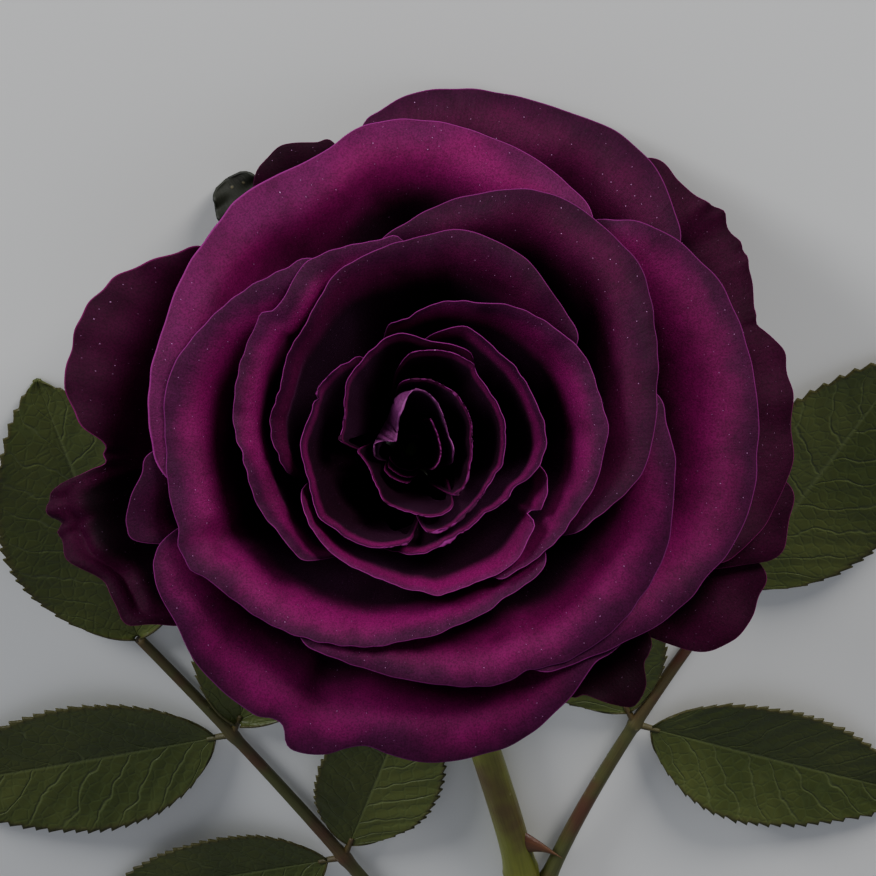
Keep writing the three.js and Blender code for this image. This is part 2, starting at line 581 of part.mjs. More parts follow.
function compoundLeaf({ name, node, side, tip, heading, pairs }) {
  const centre = stemPointAtY(node);
  const clear = stemRadiusAt(centre) + touchGap + rachisRadius;
  const start = new THREE.Vector3(centre.x + side * clear, node, centre.z);
  const end = new THREE.Vector3(tip[0], tip[1], rachisRadius + 0.6);
  const bow = start.clone().lerp(end, 0.4);
  bow.x -= side * 0.05 * start.distanceTo(end);
  bow.z = end.z + 0.35 * (start.z - end.z);
  const path = new THREE.QuadraticBezierCurve3(start, bow, end);
  const stalk = taperedTube(path, (_, share) => rachisRadius * (1.35 - 0.5 * share), 12, 8);
  rose.add(named(name + "_stalk", stalk, stalkMaterial));
  const step = (angle, distance) =>
    new THREE.Vector3(Math.cos(radians(angle)), Math.sin(radians(angle)), 0).multiplyScalar(distance);
  leaflet(name + "_leaflet_end", end.clone().add(step(heading, touchGap + leafThickness / 2)), heading, 1);
  pairs.forEach(([share, right, left, size], i) => {
    const at = path.getPointAt(share);
    const off = rachisRadius * 1.35 + touchGap + 1.2;
    const pair = name + "_leaflet_" + (i + 1);
    leaflet(pair + "_right", at.clone().add(step(right, off)), right, size);
    leaflet(pair + "_left", at.clone().add(step(left, off)), left, size);
  });
}

leaves.forEach(compoundLeaf);

// The origin is on the table, at the middle of the rose's box.
rose.updateMatrixWorld(true);
const box = new THREE.Box3().setFromObject(rose, true);
const middle = box.getCenter(new THREE.Vector3());
rose.position.set(-middle.x, -middle.y, -box.min.z);

export default rose;
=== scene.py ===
import math
import bpy
import numpy as np
from mathutils import Matrix, Vector


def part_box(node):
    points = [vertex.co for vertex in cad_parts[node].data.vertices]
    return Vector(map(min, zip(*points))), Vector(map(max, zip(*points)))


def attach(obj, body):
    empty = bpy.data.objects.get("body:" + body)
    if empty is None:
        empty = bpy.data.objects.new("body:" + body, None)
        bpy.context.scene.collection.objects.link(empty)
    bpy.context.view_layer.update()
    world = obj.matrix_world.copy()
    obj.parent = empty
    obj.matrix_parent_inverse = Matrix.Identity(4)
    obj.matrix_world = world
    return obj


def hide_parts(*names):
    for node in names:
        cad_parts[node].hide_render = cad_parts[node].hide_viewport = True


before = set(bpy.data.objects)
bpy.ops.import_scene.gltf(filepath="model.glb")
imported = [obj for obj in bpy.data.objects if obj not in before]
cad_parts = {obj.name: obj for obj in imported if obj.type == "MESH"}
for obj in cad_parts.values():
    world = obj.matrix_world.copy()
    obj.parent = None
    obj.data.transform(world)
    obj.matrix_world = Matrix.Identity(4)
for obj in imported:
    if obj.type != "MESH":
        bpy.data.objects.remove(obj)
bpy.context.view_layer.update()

MM = 0.001  # metres in a millimetre

# ---- sizes in millimetres, as in the part's source
BLOOM_DEPTH = 42.0
LEAN = math.radians(40)
HIP_RADIUS, HIP_DOME, HIP_LENGTH = 6.4, 15.0, 10.0
DRAWN_RADIUS = 55.0
NECK_RADIUS, STEM_RADIUS, STEM_LENGTH, NECK_LENGTH = 2.2, 2.9, 235.0, 34.0
PETAL, GAP = 0.35, 0.3
PART_ROOT_Z = 20.30104  # the bloom's root in the part's own layout, before its box is centred
HIP_TO_ROOT = np.array([0.0, 0.3072, 0.1695])  # from the middle of the hip's box to the bloom's root

low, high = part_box("hip")
ROOT = (np.array(low) + np.array(high)) / 2 / MM + HIP_TO_ROOT
SHIFT = ROOT - np.array([0.0, 0.0, PART_ROOT_Z])  # the part's layout to the row frame
V = np.array([0.0, math.cos(LEAN), -math.sin(LEAN)])  # the bloom's own +Y
W = np.array([0.0, math.sin(LEAN), math.cos(LEAN)])  # the bloom's axis


def to_row(p):
    """Bloom frame to the row frame, both in millimetres."""
    return ROOT + p[..., :1] * np.array([1.0, 0, 0]) + p[..., 1:2] * V + p[..., 2:3] * W


# ---- the petals' nested sheets
def smooth(a, b, x):
    x = np.clip((np.asarray(x, float) - a) / (b - a), 0, 1)
    return x * x * (3 - 2 * x)


def section(nest, s):
    """Radius and height of a sheet: s is 0 at the hip and 1 at full length."""
    nest, s = np.asarray(nest, float), np.asarray(s, float)
    share = nest / DRAWN_RADIUS
    r0, z0 = 1 + (HIP_RADIUS - 1) * share ** 0.9, HIP_DOME * (1 - share)
    root = np.radians(20 + 60 * smooth(0, 45, nest))
    rim = np.radians(3 + 122 * smooth(6, 42, nest))
    r3, z3 = nest, BLOOM_DEPTH * (1 - 0.000571 * (nest - 20) ** 2)
    a, b = 6 + 0.55 * nest, 1 + 15 * smooth(10, 44, nest)
    r1, z1 = r0 + a * np.sin(root), z0 + a * np.cos(root)
    r2, z2 = r3 - b * np.sin(rim), z3 - b * np.cos(rim)
    k0, k1, k2, k3 = (1 - s) ** 3, 3 * s * (1 - s) ** 2, 3 * s * s * (1 - s), s ** 3
    return r0 * k0 + r1 * k1 + r2 * k2 + r3 * k3, z0 * k0 + z1 * k1 + z2 * k2 + z3 * k3


def share_at(nest, reach):
    """Where along its length each sheet reaches a radius."""
    lo, hi = np.zeros_like(nest), np.full_like(nest, 1.06)
    for _ in range(26):
        mid = (lo + hi) / 2
        below = section(nest, mid)[0] < reach
        lo, hi = np.where(below, mid, lo), np.where(below, hi, mid)
    return (lo + hi) / 2


def curve(rows, angles):
    """A smooth curve through (angle, value) rows."""
    x, y = np.array([r[0] for r in rows], float), np.array([r[1] for r in rows], float)
    d = np.diff(y) / np.diff(x)
    m = np.concatenate([[d[0]], (d[1:] + d[:-1]) / 2, [d[-1]]])
    flat = np.concatenate([[False], d[1:] * d[:-1] <= 0, [False]])
    m = np.where(flat, 0, m)
    i = np.clip(np.searchsorted(x, angles, "right") - 1, 0, len(x) - 2)
    h = x[i + 1] - x[i]
    s = np.clip((angles - x[i]) / h, 0, 1)
    return (y[i] + (y[i + 1] - y[i]) * s * s * (3 - 2 * s)
            + (s - 2 * s * s + s ** 3) * h * m[i] + (s ** 3 - s * s) * h * m[i + 1])


def unwrap(rows):
    """The rows with angles that go on past 360."""
    out, turn, last = [], 0, None
    for a, b in rows:
        if last is not None and a + turn < last:
            turn += 360
        last = a + turn
        out.append((last, b))
    return out


def waves(x, seed, low, high, count=6):
    """A smooth random curve of about unit height, from sines between two frequencies in turns of x."""
    g = np.random.default_rng(seed)
    total = np.zeros_like(x, dtype=float)
    for _ in range(count):
        total += np.sin(x * g.uniform(low, high) + g.uniform(0, 2 * math.pi)) * g.uniform(0.5, 1)
    return total / math.sqrt(count)


# Each petal: the nest, as (angle, nest), then the rim, as (angle, radius seen along the axis).
NEST = {
    "guard_petal_right": [(334, 50.5), (341, 51.3), (346, 52.3), (354, 53.4), (4, 54), (14, 54.7),
        (26, 54.8), (36, 55.3), (41, 54.5), (50, 54.9), (56, 55.8), (62, 56)],
    "guard_petal_lower_right": [(332, 56), (341, 56.4), (358, 56.5), (4, 56.8)],
    "guard_petal_tail": [(317, 58.5), (350, 58.5)],
    "guard_petal_dark": [(296, 50), (329, 50)],
    "guard_petal_left": [(124, 51.5), (181, 51.5), (189, 52.5), (196, 52.5), (211, 51.5), (227, 51.5)],
    "guard_petal_top": [(98, 50.4), (121, 50.4), (130, 50)],
    "guard_petal_bottom": [(196, 39.2), (203, 40), (210, 40.6), (218, 41.3), (226, 42.2), (236, 42.9),
        (244, 43.4), (250, 44.2), (256, 43.6), (262, 43.2), (270, 43.4), (282, 43.8), (293, 43.3), (303, 42),
        (311, 41.6), (318, 43.2), (326, 44.8), (334, 47)],
    "tucked_petal_left": [(170, 38.4), (183, 38.6), (189, 40), (194, 41.5), (198, 42), (207, 42)],
    "outer_petal_top": [(28, 51.4), (38, 51.5), (43, 51.9), (50, 53), (56, 53.7), (65, 52.6), (75, 52),
        (83, 51.1), (90, 50), (95, 48.7), (99, 48.3), (109, 48)],
    "outer_petal_right": [(288, 37.2), (300, 37.4), (308, 38.9), (318, 40.8), (332, 44.3), (342, 46.8),
        (355, 48.6), (18, 49.6), (30, 49.2), (38, 48), (46, 46.4), (51, 46), (66, 46)],
    "outer_petal_upper_left": [(37, 43.3), (52, 43.2), (60, 43.7), (70, 44.8), (85, 46.2), (97, 46),
        (105, 43.9), (115, 42.7), (125, 42.5), (135, 41.2), (150, 38.8), (165, 37.5), (178, 36.3),
        (187, 36.3), (204, 36.7)],
    "middle_petal_upper_right": [(317, 27.5), (333, 27), (340, 28.3), (345, 29.6), (355, 32.8), (5, 34.2),
        (13, 35.3), (20, 36.7), (33, 39.8), (40, 41.2), (50, 41.5), (60, 41), (70, 38.5), (80, 35.4),
        (90, 33.6), (98, 33.4), (111, 34)],
    "middle_petal_left": [(99, 31.8), (117, 31.5), (125, 31.3), (140, 32.5), (152, 34), (164, 35),
        (175, 34.5), (186, 34), (198, 33.9), (205, 34.9), (212, 33.5), (225, 31.8), (240, 30), (255, 28.2),
        (270, 26.3), (283, 25.3), (300, 25), (315, 25), (325, 25.2), (340, 26.4)],
    "middle_petal_lower_right": [(220, 34.2), (230, 33), (240, 31.9), (250, 31.2), (260, 31.2), (270, 32),
        (285, 34), (293, 35), (298, 34.8), (308, 36.8), (318, 37.7), (330, 38.4), (340, 38.2), (350, 37.3),
        (360, 37), (13, 37.3), (22, 39), (31, 41)],
    "middle_petal_ring_top": [(18, 29.5), (33, 29.5), (42, 29.8), (50, 30), (60, 31.1), (75, 31.5), (85, 30),
        (97, 28.5), (112, 26.7), (120, 24.7), (128, 23), (140, 21.6), (160, 20), (178, 18.8), (190, 18.6),
        (206, 19)],
    "middle_petal_ring_left": [(82, 32.4), (92, 30.9), (100, 30.2), (117, 29.9), (125, 28.5), (131, 27.8),
        (137, 27.8), (150, 26.7), (165, 25.3), (180, 23.6), (200, 22.2), (220, 21.4), (246, 21.8)],
    "middle_petal_ring_right": [(293, 22.2), (304, 22.4), (310, 22.6), (320, 23.1), (330, 24), (340, 24.9),
        (350, 26.2), (360, 27), (7, 27.8), (20, 27.4), (33, 27.3), (45, 25.8), (65, 22.8), (75, 21.2),
        (85, 19.9), (98, 19.2), (116, 19)],
    "middle_petal_ring_bottom": [(187, 16.7), (200, 16.9), (210, 17.1), (230, 17.6), (250, 18.1), (265, 19),
        (275, 19.6), (283, 20.5), (295, 20.6), (318, 21), (337, 20.4), (6, 20.7)],
    "inner_petal_right": [(235, 16.4), (252, 15.8), (262, 15.1), (270, 14.6), (285, 14), (305, 13.5),
        (319, 13.5), (326, 14.3), (338, 15.4), (347, 17), (357, 18.6), (15, 18.8), (45, 18.6), (63, 18.6),
        (70, 18), (78, 17.6), (94, 17.7)],
    "inner_petal_left": [(103, 17.1), (117, 16.1), (126, 15.5), (142, 15.2), (152, 15.2), (162, 14.8),
        (178, 15.3), (198, 14.6), (218, 15.8), (226, 15.2), (245, 14.6), (262, 13.4), (270, 12.9),
        (283, 12.9)],
    "inner_petal_top": [(43, 16.3), (57, 16.2), (66, 16), (82, 15.8), (94, 16.2), (105, 15.5), (120, 14),
        (130, 13.3), (140, 11.8), (150, 10.4), (160, 9.9), (170, 9.9), (176, 9.4), (188, 9.3)],
    "inner_petal_ring": [(267, 11), (281, 11.7), (295, 12), (315, 11.8), (333, 11.9), (350, 12.8),
        (10, 13.6), (30, 13.8), (47, 14.2), (54, 14.8), (68, 14.6), (80, 14.1), (90, 13.4), (97, 12.7),
        (110, 12.3)],
    "inner_petal_bottom": [(165, 7.9), (180, 7.6), (192, 6.8), (208, 6.4), (222, 6.8), (240, 7.8),
        (260, 8.4), (278, 9.1), (294, 10), (306, 10.2), (322, 10.5)],
    "heart_petal_right": [(299, 8.3), (314, 8.9), (324, 9.1), (345, 8.7), (10, 8.8), (30, 9.6), (50, 10),
        (70, 10.2), (88, 9.9), (100, 9.9), (117, 10)],
    "heart_petal_top": [(326, 6.6), (344, 6.5), (2, 6.1), (20, 5.9), (40, 6.3), (60, 7.6), (80, 8.5),
        (96, 8.4), (110, 7.4), (124, 6), (140, 5.2), (165, 5.1), (190, 5.2), (214, 5)],
    "heart_petal_fold": [(296, 4.4), (318, 4.2), (340, 4.3), (15, 4.3), (40, 4.6), (57, 5.2), (68, 5.7),
        (78, 5.9), (88, 5.9)],
    "heart_petal_low": [(176, 3), (200, 3.1), (240, 2.9), (280, 2.8), (322, 2.6)],
    "heart_petal_roll": [(22, 2.5), (36, 2.4), (60, 2.2), (90, 2.1), (118, 2.3), (136, 2.8), (150, 3.2),
        (162, 3.3)],
}
RIM = {
    "guard_petal_right": [(334, 32.5), (337, 40), (340, 46.5), (343, 48.5), (348, 51), (353, 52.7),
        (358, 53.8), (4, 54), (10, 54.3), (14, 54.7), (17, 53.6), (20.5, 52), (23, 53), (28, 54.3),
        (30, 54.9), (35, 55), (37, 55.5), (40, 54.3), (45, 53.6), (51, 53), (56, 45), (62, 36)],
    "guard_petal_lower_right": [(332, 36), (337, 43), (341, 50), (343, 53.3), (350, 54.3), (355, 53.4),
        (360, 44), (4, 36)],
    "guard_petal_tail": [(317, 37.5), (321, 41.5), (325, 49.6), (329, 52.8), (334, 53.7), (338, 53.9),
        (342, 51.8), (346, 43), (350, 37.5)],
    "guard_petal_dark": [(296, 32), (300, 36), (303, 41.3), (305.5, 42.4), (307, 44), (308.5, 45.6),
        (311.5, 47.8), (315, 46.8), (317.5, 44.6), (319.5, 44.2), (322, 42.6), (325.5, 36), (329, 32)],
    "guard_petal_left": [(124, 33), (131, 36.5), (136, 41.2), (140, 43.2), (147, 46.8), (155, 49.6),
        (160, 50.1), (166, 49.8), (170, 49.2), (173, 48), (176, 46), (178.3, 43.6), (181, 42.7),
        (183.4, 43.6), (185, 48.4), (187, 51), (190, 51.8), (192, 50.6), (193.5, 51.4), (197, 50.4),
        (200, 49), (204, 46.5), (207, 46.8), (212, 46.4), (213.5, 44.5), (217, 41), (222, 35), (227, 33)],
    "guard_petal_top": [(98, 32.3), (101, 38), (104, 44.4), (107, 45.3), (111, 46.3), (117, 45.5),
        (121, 42.8), (125, 36), (130, 32)],
    "guard_petal_bottom": [(196, 26), (199, 35), (203, 38.8), (206, 39.7), (210, 40.3), (218, 41),
        (225, 42.2), (232, 42.5), (240, 42.8), (243, 42.2), (245.5, 42.6), (247, 44.4), (250, 45),
        (254, 44.3), (258, 42.7), (262, 41.9), (266, 42.6), (270, 43.3), (280, 43.8), (290, 43.6), (298, 42),
        (303, 41), (311, 39.3), (315, 40), (318, 39.8), (326, 34), (334, 30)],
    "tucked_petal_left": [(170, 24.6), (177, 32), (181, 36.5), (185, 37.6), (190, 39.7), (195, 41),
        (198, 40.6), (202, 35), (207, 27)],
    "outer_petal_top": [(28, 33), (33, 41), (37, 47.3), (42, 50), (50, 53), (56, 53.7), (65, 52.6), (75, 52),
        (82, 51.2), (90, 50), (95, 48), (98, 46.4), (104, 37), (109, 31)],
    "outer_petal_right": [(288, 24), (295, 31), (300, 35.4), (310, 38), (318, 40.2), (325, 42.5),
        (332, 44.3), (338, 45.5), (342, 46.8), (350, 48.3), (360, 48.8), (10, 49.4), (18, 49.6), (30, 49.3),
        (33, 48.6), (38, 47.8), (42, 46.5), (46, 44.8), (48, 43.4), (51, 41.6), (58, 34), (66, 29.4)],
    "outer_petal_upper_left": [(37, 27.7), (45, 35), (52, 41.5), (60, 43.3), (70, 44.8), (80, 45.8),
        (86, 46.2), (97, 46), (101, 45.2), (105, 43.8), (110, 43), (120, 42.6), (125, 42.6), (130, 41.6),
        (140, 40.4), (150, 38.8), (160, 38), (170, 37), (178, 36), (185, 34.8), (196, 28), (204, 23.5)],
    "middle_petal_upper_right": [(317, 17.6), (325, 20), (333, 25.5), (340, 27.5), (345, 29.2), (350, 31),
        (355, 32.6), (360, 33.4), (5, 34.2), (13, 35.3), (20, 36.7), (27, 38.3), (33, 39.8), (38, 41),
        (45, 41.4), (55, 41.4), (60, 41), (65, 40), (70, 38.5), (75, 36.8), (80, 35.4), (85, 33.8), (90, 32),
        (95, 30.4), (99, 28.6), (104, 24), (111, 21.8)],
    "middle_petal_left": [(99, 20.4), (108, 24), (117, 30), (125, 30.7), (130, 31.3), (140, 32.5),
        (150, 33.7), (158, 34.7), (164, 35), (170, 34.7), (180, 34), (190, 34.1), (198, 33.9), (203, 34.8),
        (208, 34.8), (212, 33.5), (220, 32.2), (230, 31.2), (240, 30), (250, 28.8), (260, 27.7), (270, 26.3),
        (278, 25.9), (283, 25.3), (290, 25), (297, 24.8), (303, 24.4), (310, 24.5), (322, 24), (331, 19),
        (340, 16.9)],
    "middle_petal_lower_right": [(220, 21.9), (230, 25), (240, 30.3), (250, 30.7), (260, 31.1), (270, 32),
        (278, 33), (285, 34), (293, 35), (298, 34.7), (300, 35.2), (308, 36.8), (315, 37.5), (322, 38),
        (335, 38.4), (340, 38.2), (350, 37.3), (360, 36.8), (5, 36), (13, 35.2), (22, 29), (31, 26)],
    "middle_petal_ring_top": [(18, 18.9), (26, 22), (33, 27.8), (40, 28.7), (50, 29.8), (58, 31), (65, 31.4),
        (75, 31.5), (80, 31), (85, 30.1), (91, 29.2), (97, 28.5), (105, 27.6), (112, 26.7), (120, 24.7),
        (128, 23), (135, 22.1), (140, 21.6), (150, 20.6), (160, 20), (170, 19.3), (180, 18.6), (190, 17.5),
        (198, 14), (206, 12.2)],
    "middle_petal_ring_left": [(82, 20.7), (87, 24), (92, 29.2), (100, 29.5), (110, 29.8), (117, 29.9),
        (121, 29.5), (125, 28.5), (130, 27.4), (134, 27.2), (137.5, 28.1), (140, 27.7), (150, 26.7),
        (160, 25.8), (170, 24.8), (180, 23.6), (190, 22.9), (200, 22.2), (210, 21.6), (220, 21.4),
        (226, 21.2), (233, 19), (240, 16), (246, 14)],
    "middle_petal_ring_right": [(293, 14.2), (299, 17), (304, 21.6), (310, 22.3), (320, 23), (330, 24),
        (340, 24.9), (350, 26.2), (360, 27), (7, 27.8), (12, 27.5), (20, 27.4), (26, 27.6), (33, 27.3),
        (38, 26.7), (45, 25.8), (55, 24.4), (65, 22.8), (75, 21.2), (85, 19.5), (90, 18.8), (100, 17.6),
        (107, 14), (116, 12.2)],
    "middle_petal_ring_bottom": [(187, 10.7), (194, 13), (200, 16), (210, 17), (220, 17.5), (240, 17.9),
        (250, 18.1), (265, 19), (275, 19.6), (282, 20.6), (295, 20.5), (305, 20.8), (315, 21.2), (325, 20.7),
        (330, 20.2), (333, 18.8), (336, 19.8), (345, 19.6), (352, 18.6), (358, 16), (366, 13.2)],
    "inner_petal_right": [(235, 10.5), (243, 12), (252, 14.3), (270, 14.3), (290, 13.9), (300, 13.6),
        (320, 13.5), (324, 14.2), (330, 14.8), (340, 15.4), (345, 16.6), (350, 17.8), (357, 18.6),
        (10, 18.8), (30, 18.7), (50, 18.5), (64, 18.7), (70, 18), (75, 17.2), (84, 15.4), (94, 11.3)],
    "inner_petal_left": [(103, 10.9), (110, 12), (117, 14.6), (125, 15), (135, 15.4), (142, 15.2),
        (147, 15.6), (151, 15.1), (155, 15), (160, 14.7), (170, 14.9), (178, 15.3), (190, 14.8), (200, 14.6),
        (210, 15.2), (218, 15.8), (225, 15.2), (235, 15), (245, 14.6), (255, 14), (262, 13.4), (270, 12.7),
        (276, 10.5), (283, 8.3)],
    "inner_petal_top": [(43, 10.4), (50, 13), (55, 15.2), (65, 15.8), (82, 15.6), (90, 16.1), (95, 16.2),
        (100, 15.9), (110, 15), (120, 14), (130, 13.3), (140, 11.8), (150, 10.4), (158, 9.9), (166, 9.8),
        (171, 10.2), (175, 9), (181, 7), (188, 6)],
    "inner_petal_ring": [(267, 7), (274, 9), (281, 11.6), (290, 12.1), (300, 12), (320, 11.8), (340, 12.1),
        (350, 12.8), (360, 13.2), (10, 13.6), (30, 13.7), (50, 14.3), (54, 14.9), (68, 14.7), (80, 14.1),
        (90, 13.4), (95, 12.4), (100, 11.3), (105, 9.4), (110, 7.9)],
    "inner_petal_bottom": [(165, 5.1), (172, 6), (180, 7.3), (190, 6.7), (200, 6.3), (210, 6.2), (220, 6.5),
        (230, 7), (240, 7.8), (260, 8.3), (270, 8.7), (280, 9.2), (290, 9.8), (300, 10.1), (308, 9.8),
        (315, 8), (322, 6.7)],
    "heart_petal_right": [(299, 5.3), (306, 6.5), (314, 8.8), (320, 9.2), (330, 9.1), (350, 8.6), (10, 8.8),
        (30, 9.6), (50, 10), (70, 10.2), (90, 9.9), (100, 9.2), (108, 7.4), (117, 6.4)],
    "heart_petal_top": [(326, 4.2), (334, 5), (344, 6.2), (360, 6.1), (20, 5.8), (40, 6.3), (60, 7.6),
        (70, 8.2), (80, 8.6), (90, 8.9), (98, 8.6), (104, 8), (112, 7), (122, 5.9), (130, 5.4), (150, 5),
        (180, 5.1), (194, 4.8), (203, 4), (214, 3.2)],
    "heart_petal_fold": [(296, 2.8), (306, 3.2), (318, 4.1), (340, 4.3), (15, 4.3), (40, 4.6), (57, 5.2),
        (64, 4.9), (74, 4.2), (88, 3.8)],
    "heart_petal_low": [(176, 1.9), (188, 2.6), (200, 3.1), (240, 2.9), (280, 2.8), (305, 2.5), (322, 1.7)],
    "heart_petal_roll": [(22, 1.6), (36, 2.1), (60, 2.2), (90, 2.1), (118, 2.3), (136, 2.7), (150, 2.4),
        (162, 2.1)],
}
GUARDS = ("guard_petal_right", "guard_petal_lower_right", "guard_petal_tail", "guard_petal_dark",
          "guard_petal_left", "guard_petal_top")


def relief(x, y):
    """A gentle unevenness that every sheet shares, so that neighbours stay apart."""
    g = np.random.default_rng(4)
    total = np.zeros_like(x)
    for k in range(14):
        a, f = g.uniform(0, 2 * math.pi), g.uniform(0.12, 0.42)
        total += np.sin((x * math.cos(a) + y * math.sin(a)) * f + g.uniform(0, 7)) * (0.12 / f) ** 0.7
    r = np.hypot(x, y)
    return 0.34 * total * smooth(6, 30, r)


def normals_of(grid):
    a = np.gradient(grid, axis=0)
    b = np.gradient(grid, axis=1)
    n = np.cross(a, b)
    return n / np.maximum(np.linalg.norm(n, axis=2, keepdims=True), 1e-9)


def solid_from(name, grid, thickness, uv, material, front_v=1.0):
    """A closed thin solid from a grid of middle points in millimetres, with a UV per grid point."""
    c, r = grid.shape[:2]
    n = normals_of(grid)
    t = np.broadcast_to(np.asarray(thickness, float), (c, r))[..., None] / 2
    front, back = grid + n * t, grid - n * t
    verts = np.concatenate([front.reshape(-1, 3), back.reshape(-1, 3)]) * MM
    i, j = np.meshgrid(np.arange(c - 1), np.arange(r - 1), indexing="ij")
    a, b, d, e = i * r + j, (i + 1) * r + j, (i + 1) * r + j + 1, i * r + j + 1
    f0 = np.stack([a, b, d, e], -1).reshape(-1, 4)
    f1 = np.stack([a, e, d, b], -1).reshape(-1, 4) + c * r
    k, m = np.arange(c - 1), np.arange(r - 1)
    o = c * r
    bottom = np.stack([k * r, k * r + o, (k + 1) * r + o, (k + 1) * r], -1)
    top = np.stack([k * r + r - 1, (k + 1) * r + r - 1, (k + 1) * r + r - 1 + o, k * r + r - 1 + o], -1)
    left = np.stack([m, m + 1, m + 1 + o, m + o], -1)
    q = (c - 1) * r
    right = np.stack([q + m, q + m + o, q + m + 1 + o, q + m + 1], -1)
    faces = np.concatenate([f0, f1, bottom, top, left, right])
    flat = uv.reshape(-1, 2)
    return mesh_object(name, verts, faces, np.concatenate([flat * (1, front_v), flat]), material)


def mesh_object(name, verts, faces, uv, material):
    mesh = bpy.data.meshes.new(name)
    mesh.vertices.add(len(verts))
    mesh.vertices.foreach_set("co", np.asarray(verts, np.float32).ravel())
    if isinstance(faces, np.ndarray):
        counts = np.full(len(faces), faces.shape[1])
        loops = faces.ravel()
    else:
        counts = np.array([len(f) for f in faces])
        loops = np.concatenate(faces)
    mesh.loops.add(len(loops))
    mesh.loops.foreach_set("vertex_index", loops.astype(np.int32))
    mesh.polygons.add(len(counts))
    mesh.polygons.foreach_set("loop_start", np.concatenate([[0], np.cumsum(counts)[:-1]]).astype(np.int32))
    mesh.polygons.foreach_set("loop_total", counts.astype(np.int32))
    mesh.polygons.foreach_set("use_smooth", np.full(len(counts), True))
    layer = mesh.uv_layers.new(name="sheet")
    layer.data.foreach_set("uv", np.asarray(uv, np.float32)[loops].ravel())
    mesh.update(calc_edges=True)
    mesh.validate()
    obj = bpy.data.objects.new(name, mesh)
    bpy.context.scene.collection.objects.link(obj)
    obj.data.materials.append(material)
    return obj


# ---- material helpers
class Nodes:
    def __init__(self, name):
        self.material = bpy.data.materials.new(name)
        self.material.use_nodes = True
        self.tree = self.material.node_tree
        self.tree.nodes.clear()
        self.out = self.add("ShaderNodeOutputMaterial")
        self.shader = self.add("ShaderNodeBsdfPrincipled")
        self.link(self.shader.outputs[0], self.out.inputs[0])

    def add(self, kind, **values):
        node = self.tree.nodes.new(kind)
        for key, value in values.items():
            setattr(node, key, value)
        return node

    def link(self, a, b):
        self.tree.links.new(a, b)

    def put(self, socket, value):
        if isinstance(value, bpy.types.NodeSocket):
            self.link(value, socket)
        else:
            socket.default_value = value

    def math(self, operation, a, b=0.0):
        node = self.add("ShaderNodeMath", operation=operation)
        for socket, value in zip(node.inputs, (a, b)):
            self.put(socket, value)
        return node.outputs[0]

    def ramp(self, value, low, high, a=0.0, b=1.0, kind="SMOOTHSTEP"):
        node = self.add("ShaderNodeMapRange", interpolation_type=kind)
        for index, v in enumerate((value, low, high, a, b)):
            self.put(node.inputs[index], v)
        return node.outputs[0]

    def mix(self, factor, a, b, blend="MIX"):
        node = self.add("ShaderNodeMix", data_type="RGBA", blend_type=blend)
        self.put(node.inputs[0], factor)
        self.put(node.inputs[6], a if isinstance(a, bpy.types.NodeSocket) else (*a, 1))
        self.put(node.inputs[7], b if isinstance(b, bpy.types.NodeSocket) else (*b, 1))
        return node.outputs[2]

    def noise(self, vector, scale, detail=3.0, roughness=0.5):
        node = self.add("ShaderNodeTexNoise")
        self.put(node.inputs["Vector"], vector)
        node.inputs["Scale"].default_value = scale
        node.inputs["Detail"].default_value = detail
        node.inputs["Roughness"].default_value = roughness
        return node.outputs[0]

    def scaled(self, vector, x, y, z=1.0):
        node = self.add("ShaderNodeVectorMath", operation="MULTIPLY")
        self.put(node.inputs[0], vector)
        node.inputs[1].default_value = (x, y, z)
        return node.outputs[0]

    def uv(self):
        node = self.add("ShaderNodeUVMap", uv_map="sheet")
        parts = self.add("ShaderNodeSeparateXYZ")
        self.link(node.outputs[0], parts.inputs[0])
        return node.outputs[0], parts.outputs[0], parts.outputs[1]

    def place(self):
        return self.add("ShaderNodeTexCoord").outputs["Object"]

    def bump(self, height, distance, strength=1.0):
        node = self.add("ShaderNodeBump")
        node.inputs["Strength"].default_value = strength
        node.inputs["Distance"].default_value = distance
        self.put(node.inputs["Height"], height)
        return node.outputs[0]

    def finish(self, color, roughness, normal=None, **sockets):
        self.put(self.shader.inputs["Base Color"], color)
        self.put(self.shader.inputs["Roughness"], roughness)
        if normal is not None:
            self.link(normal, self.shader.inputs["Normal"])
        for key, value in sockets.items():
            self.shader.inputs[key.replace("_", " ")].default_value = value
        return self.material


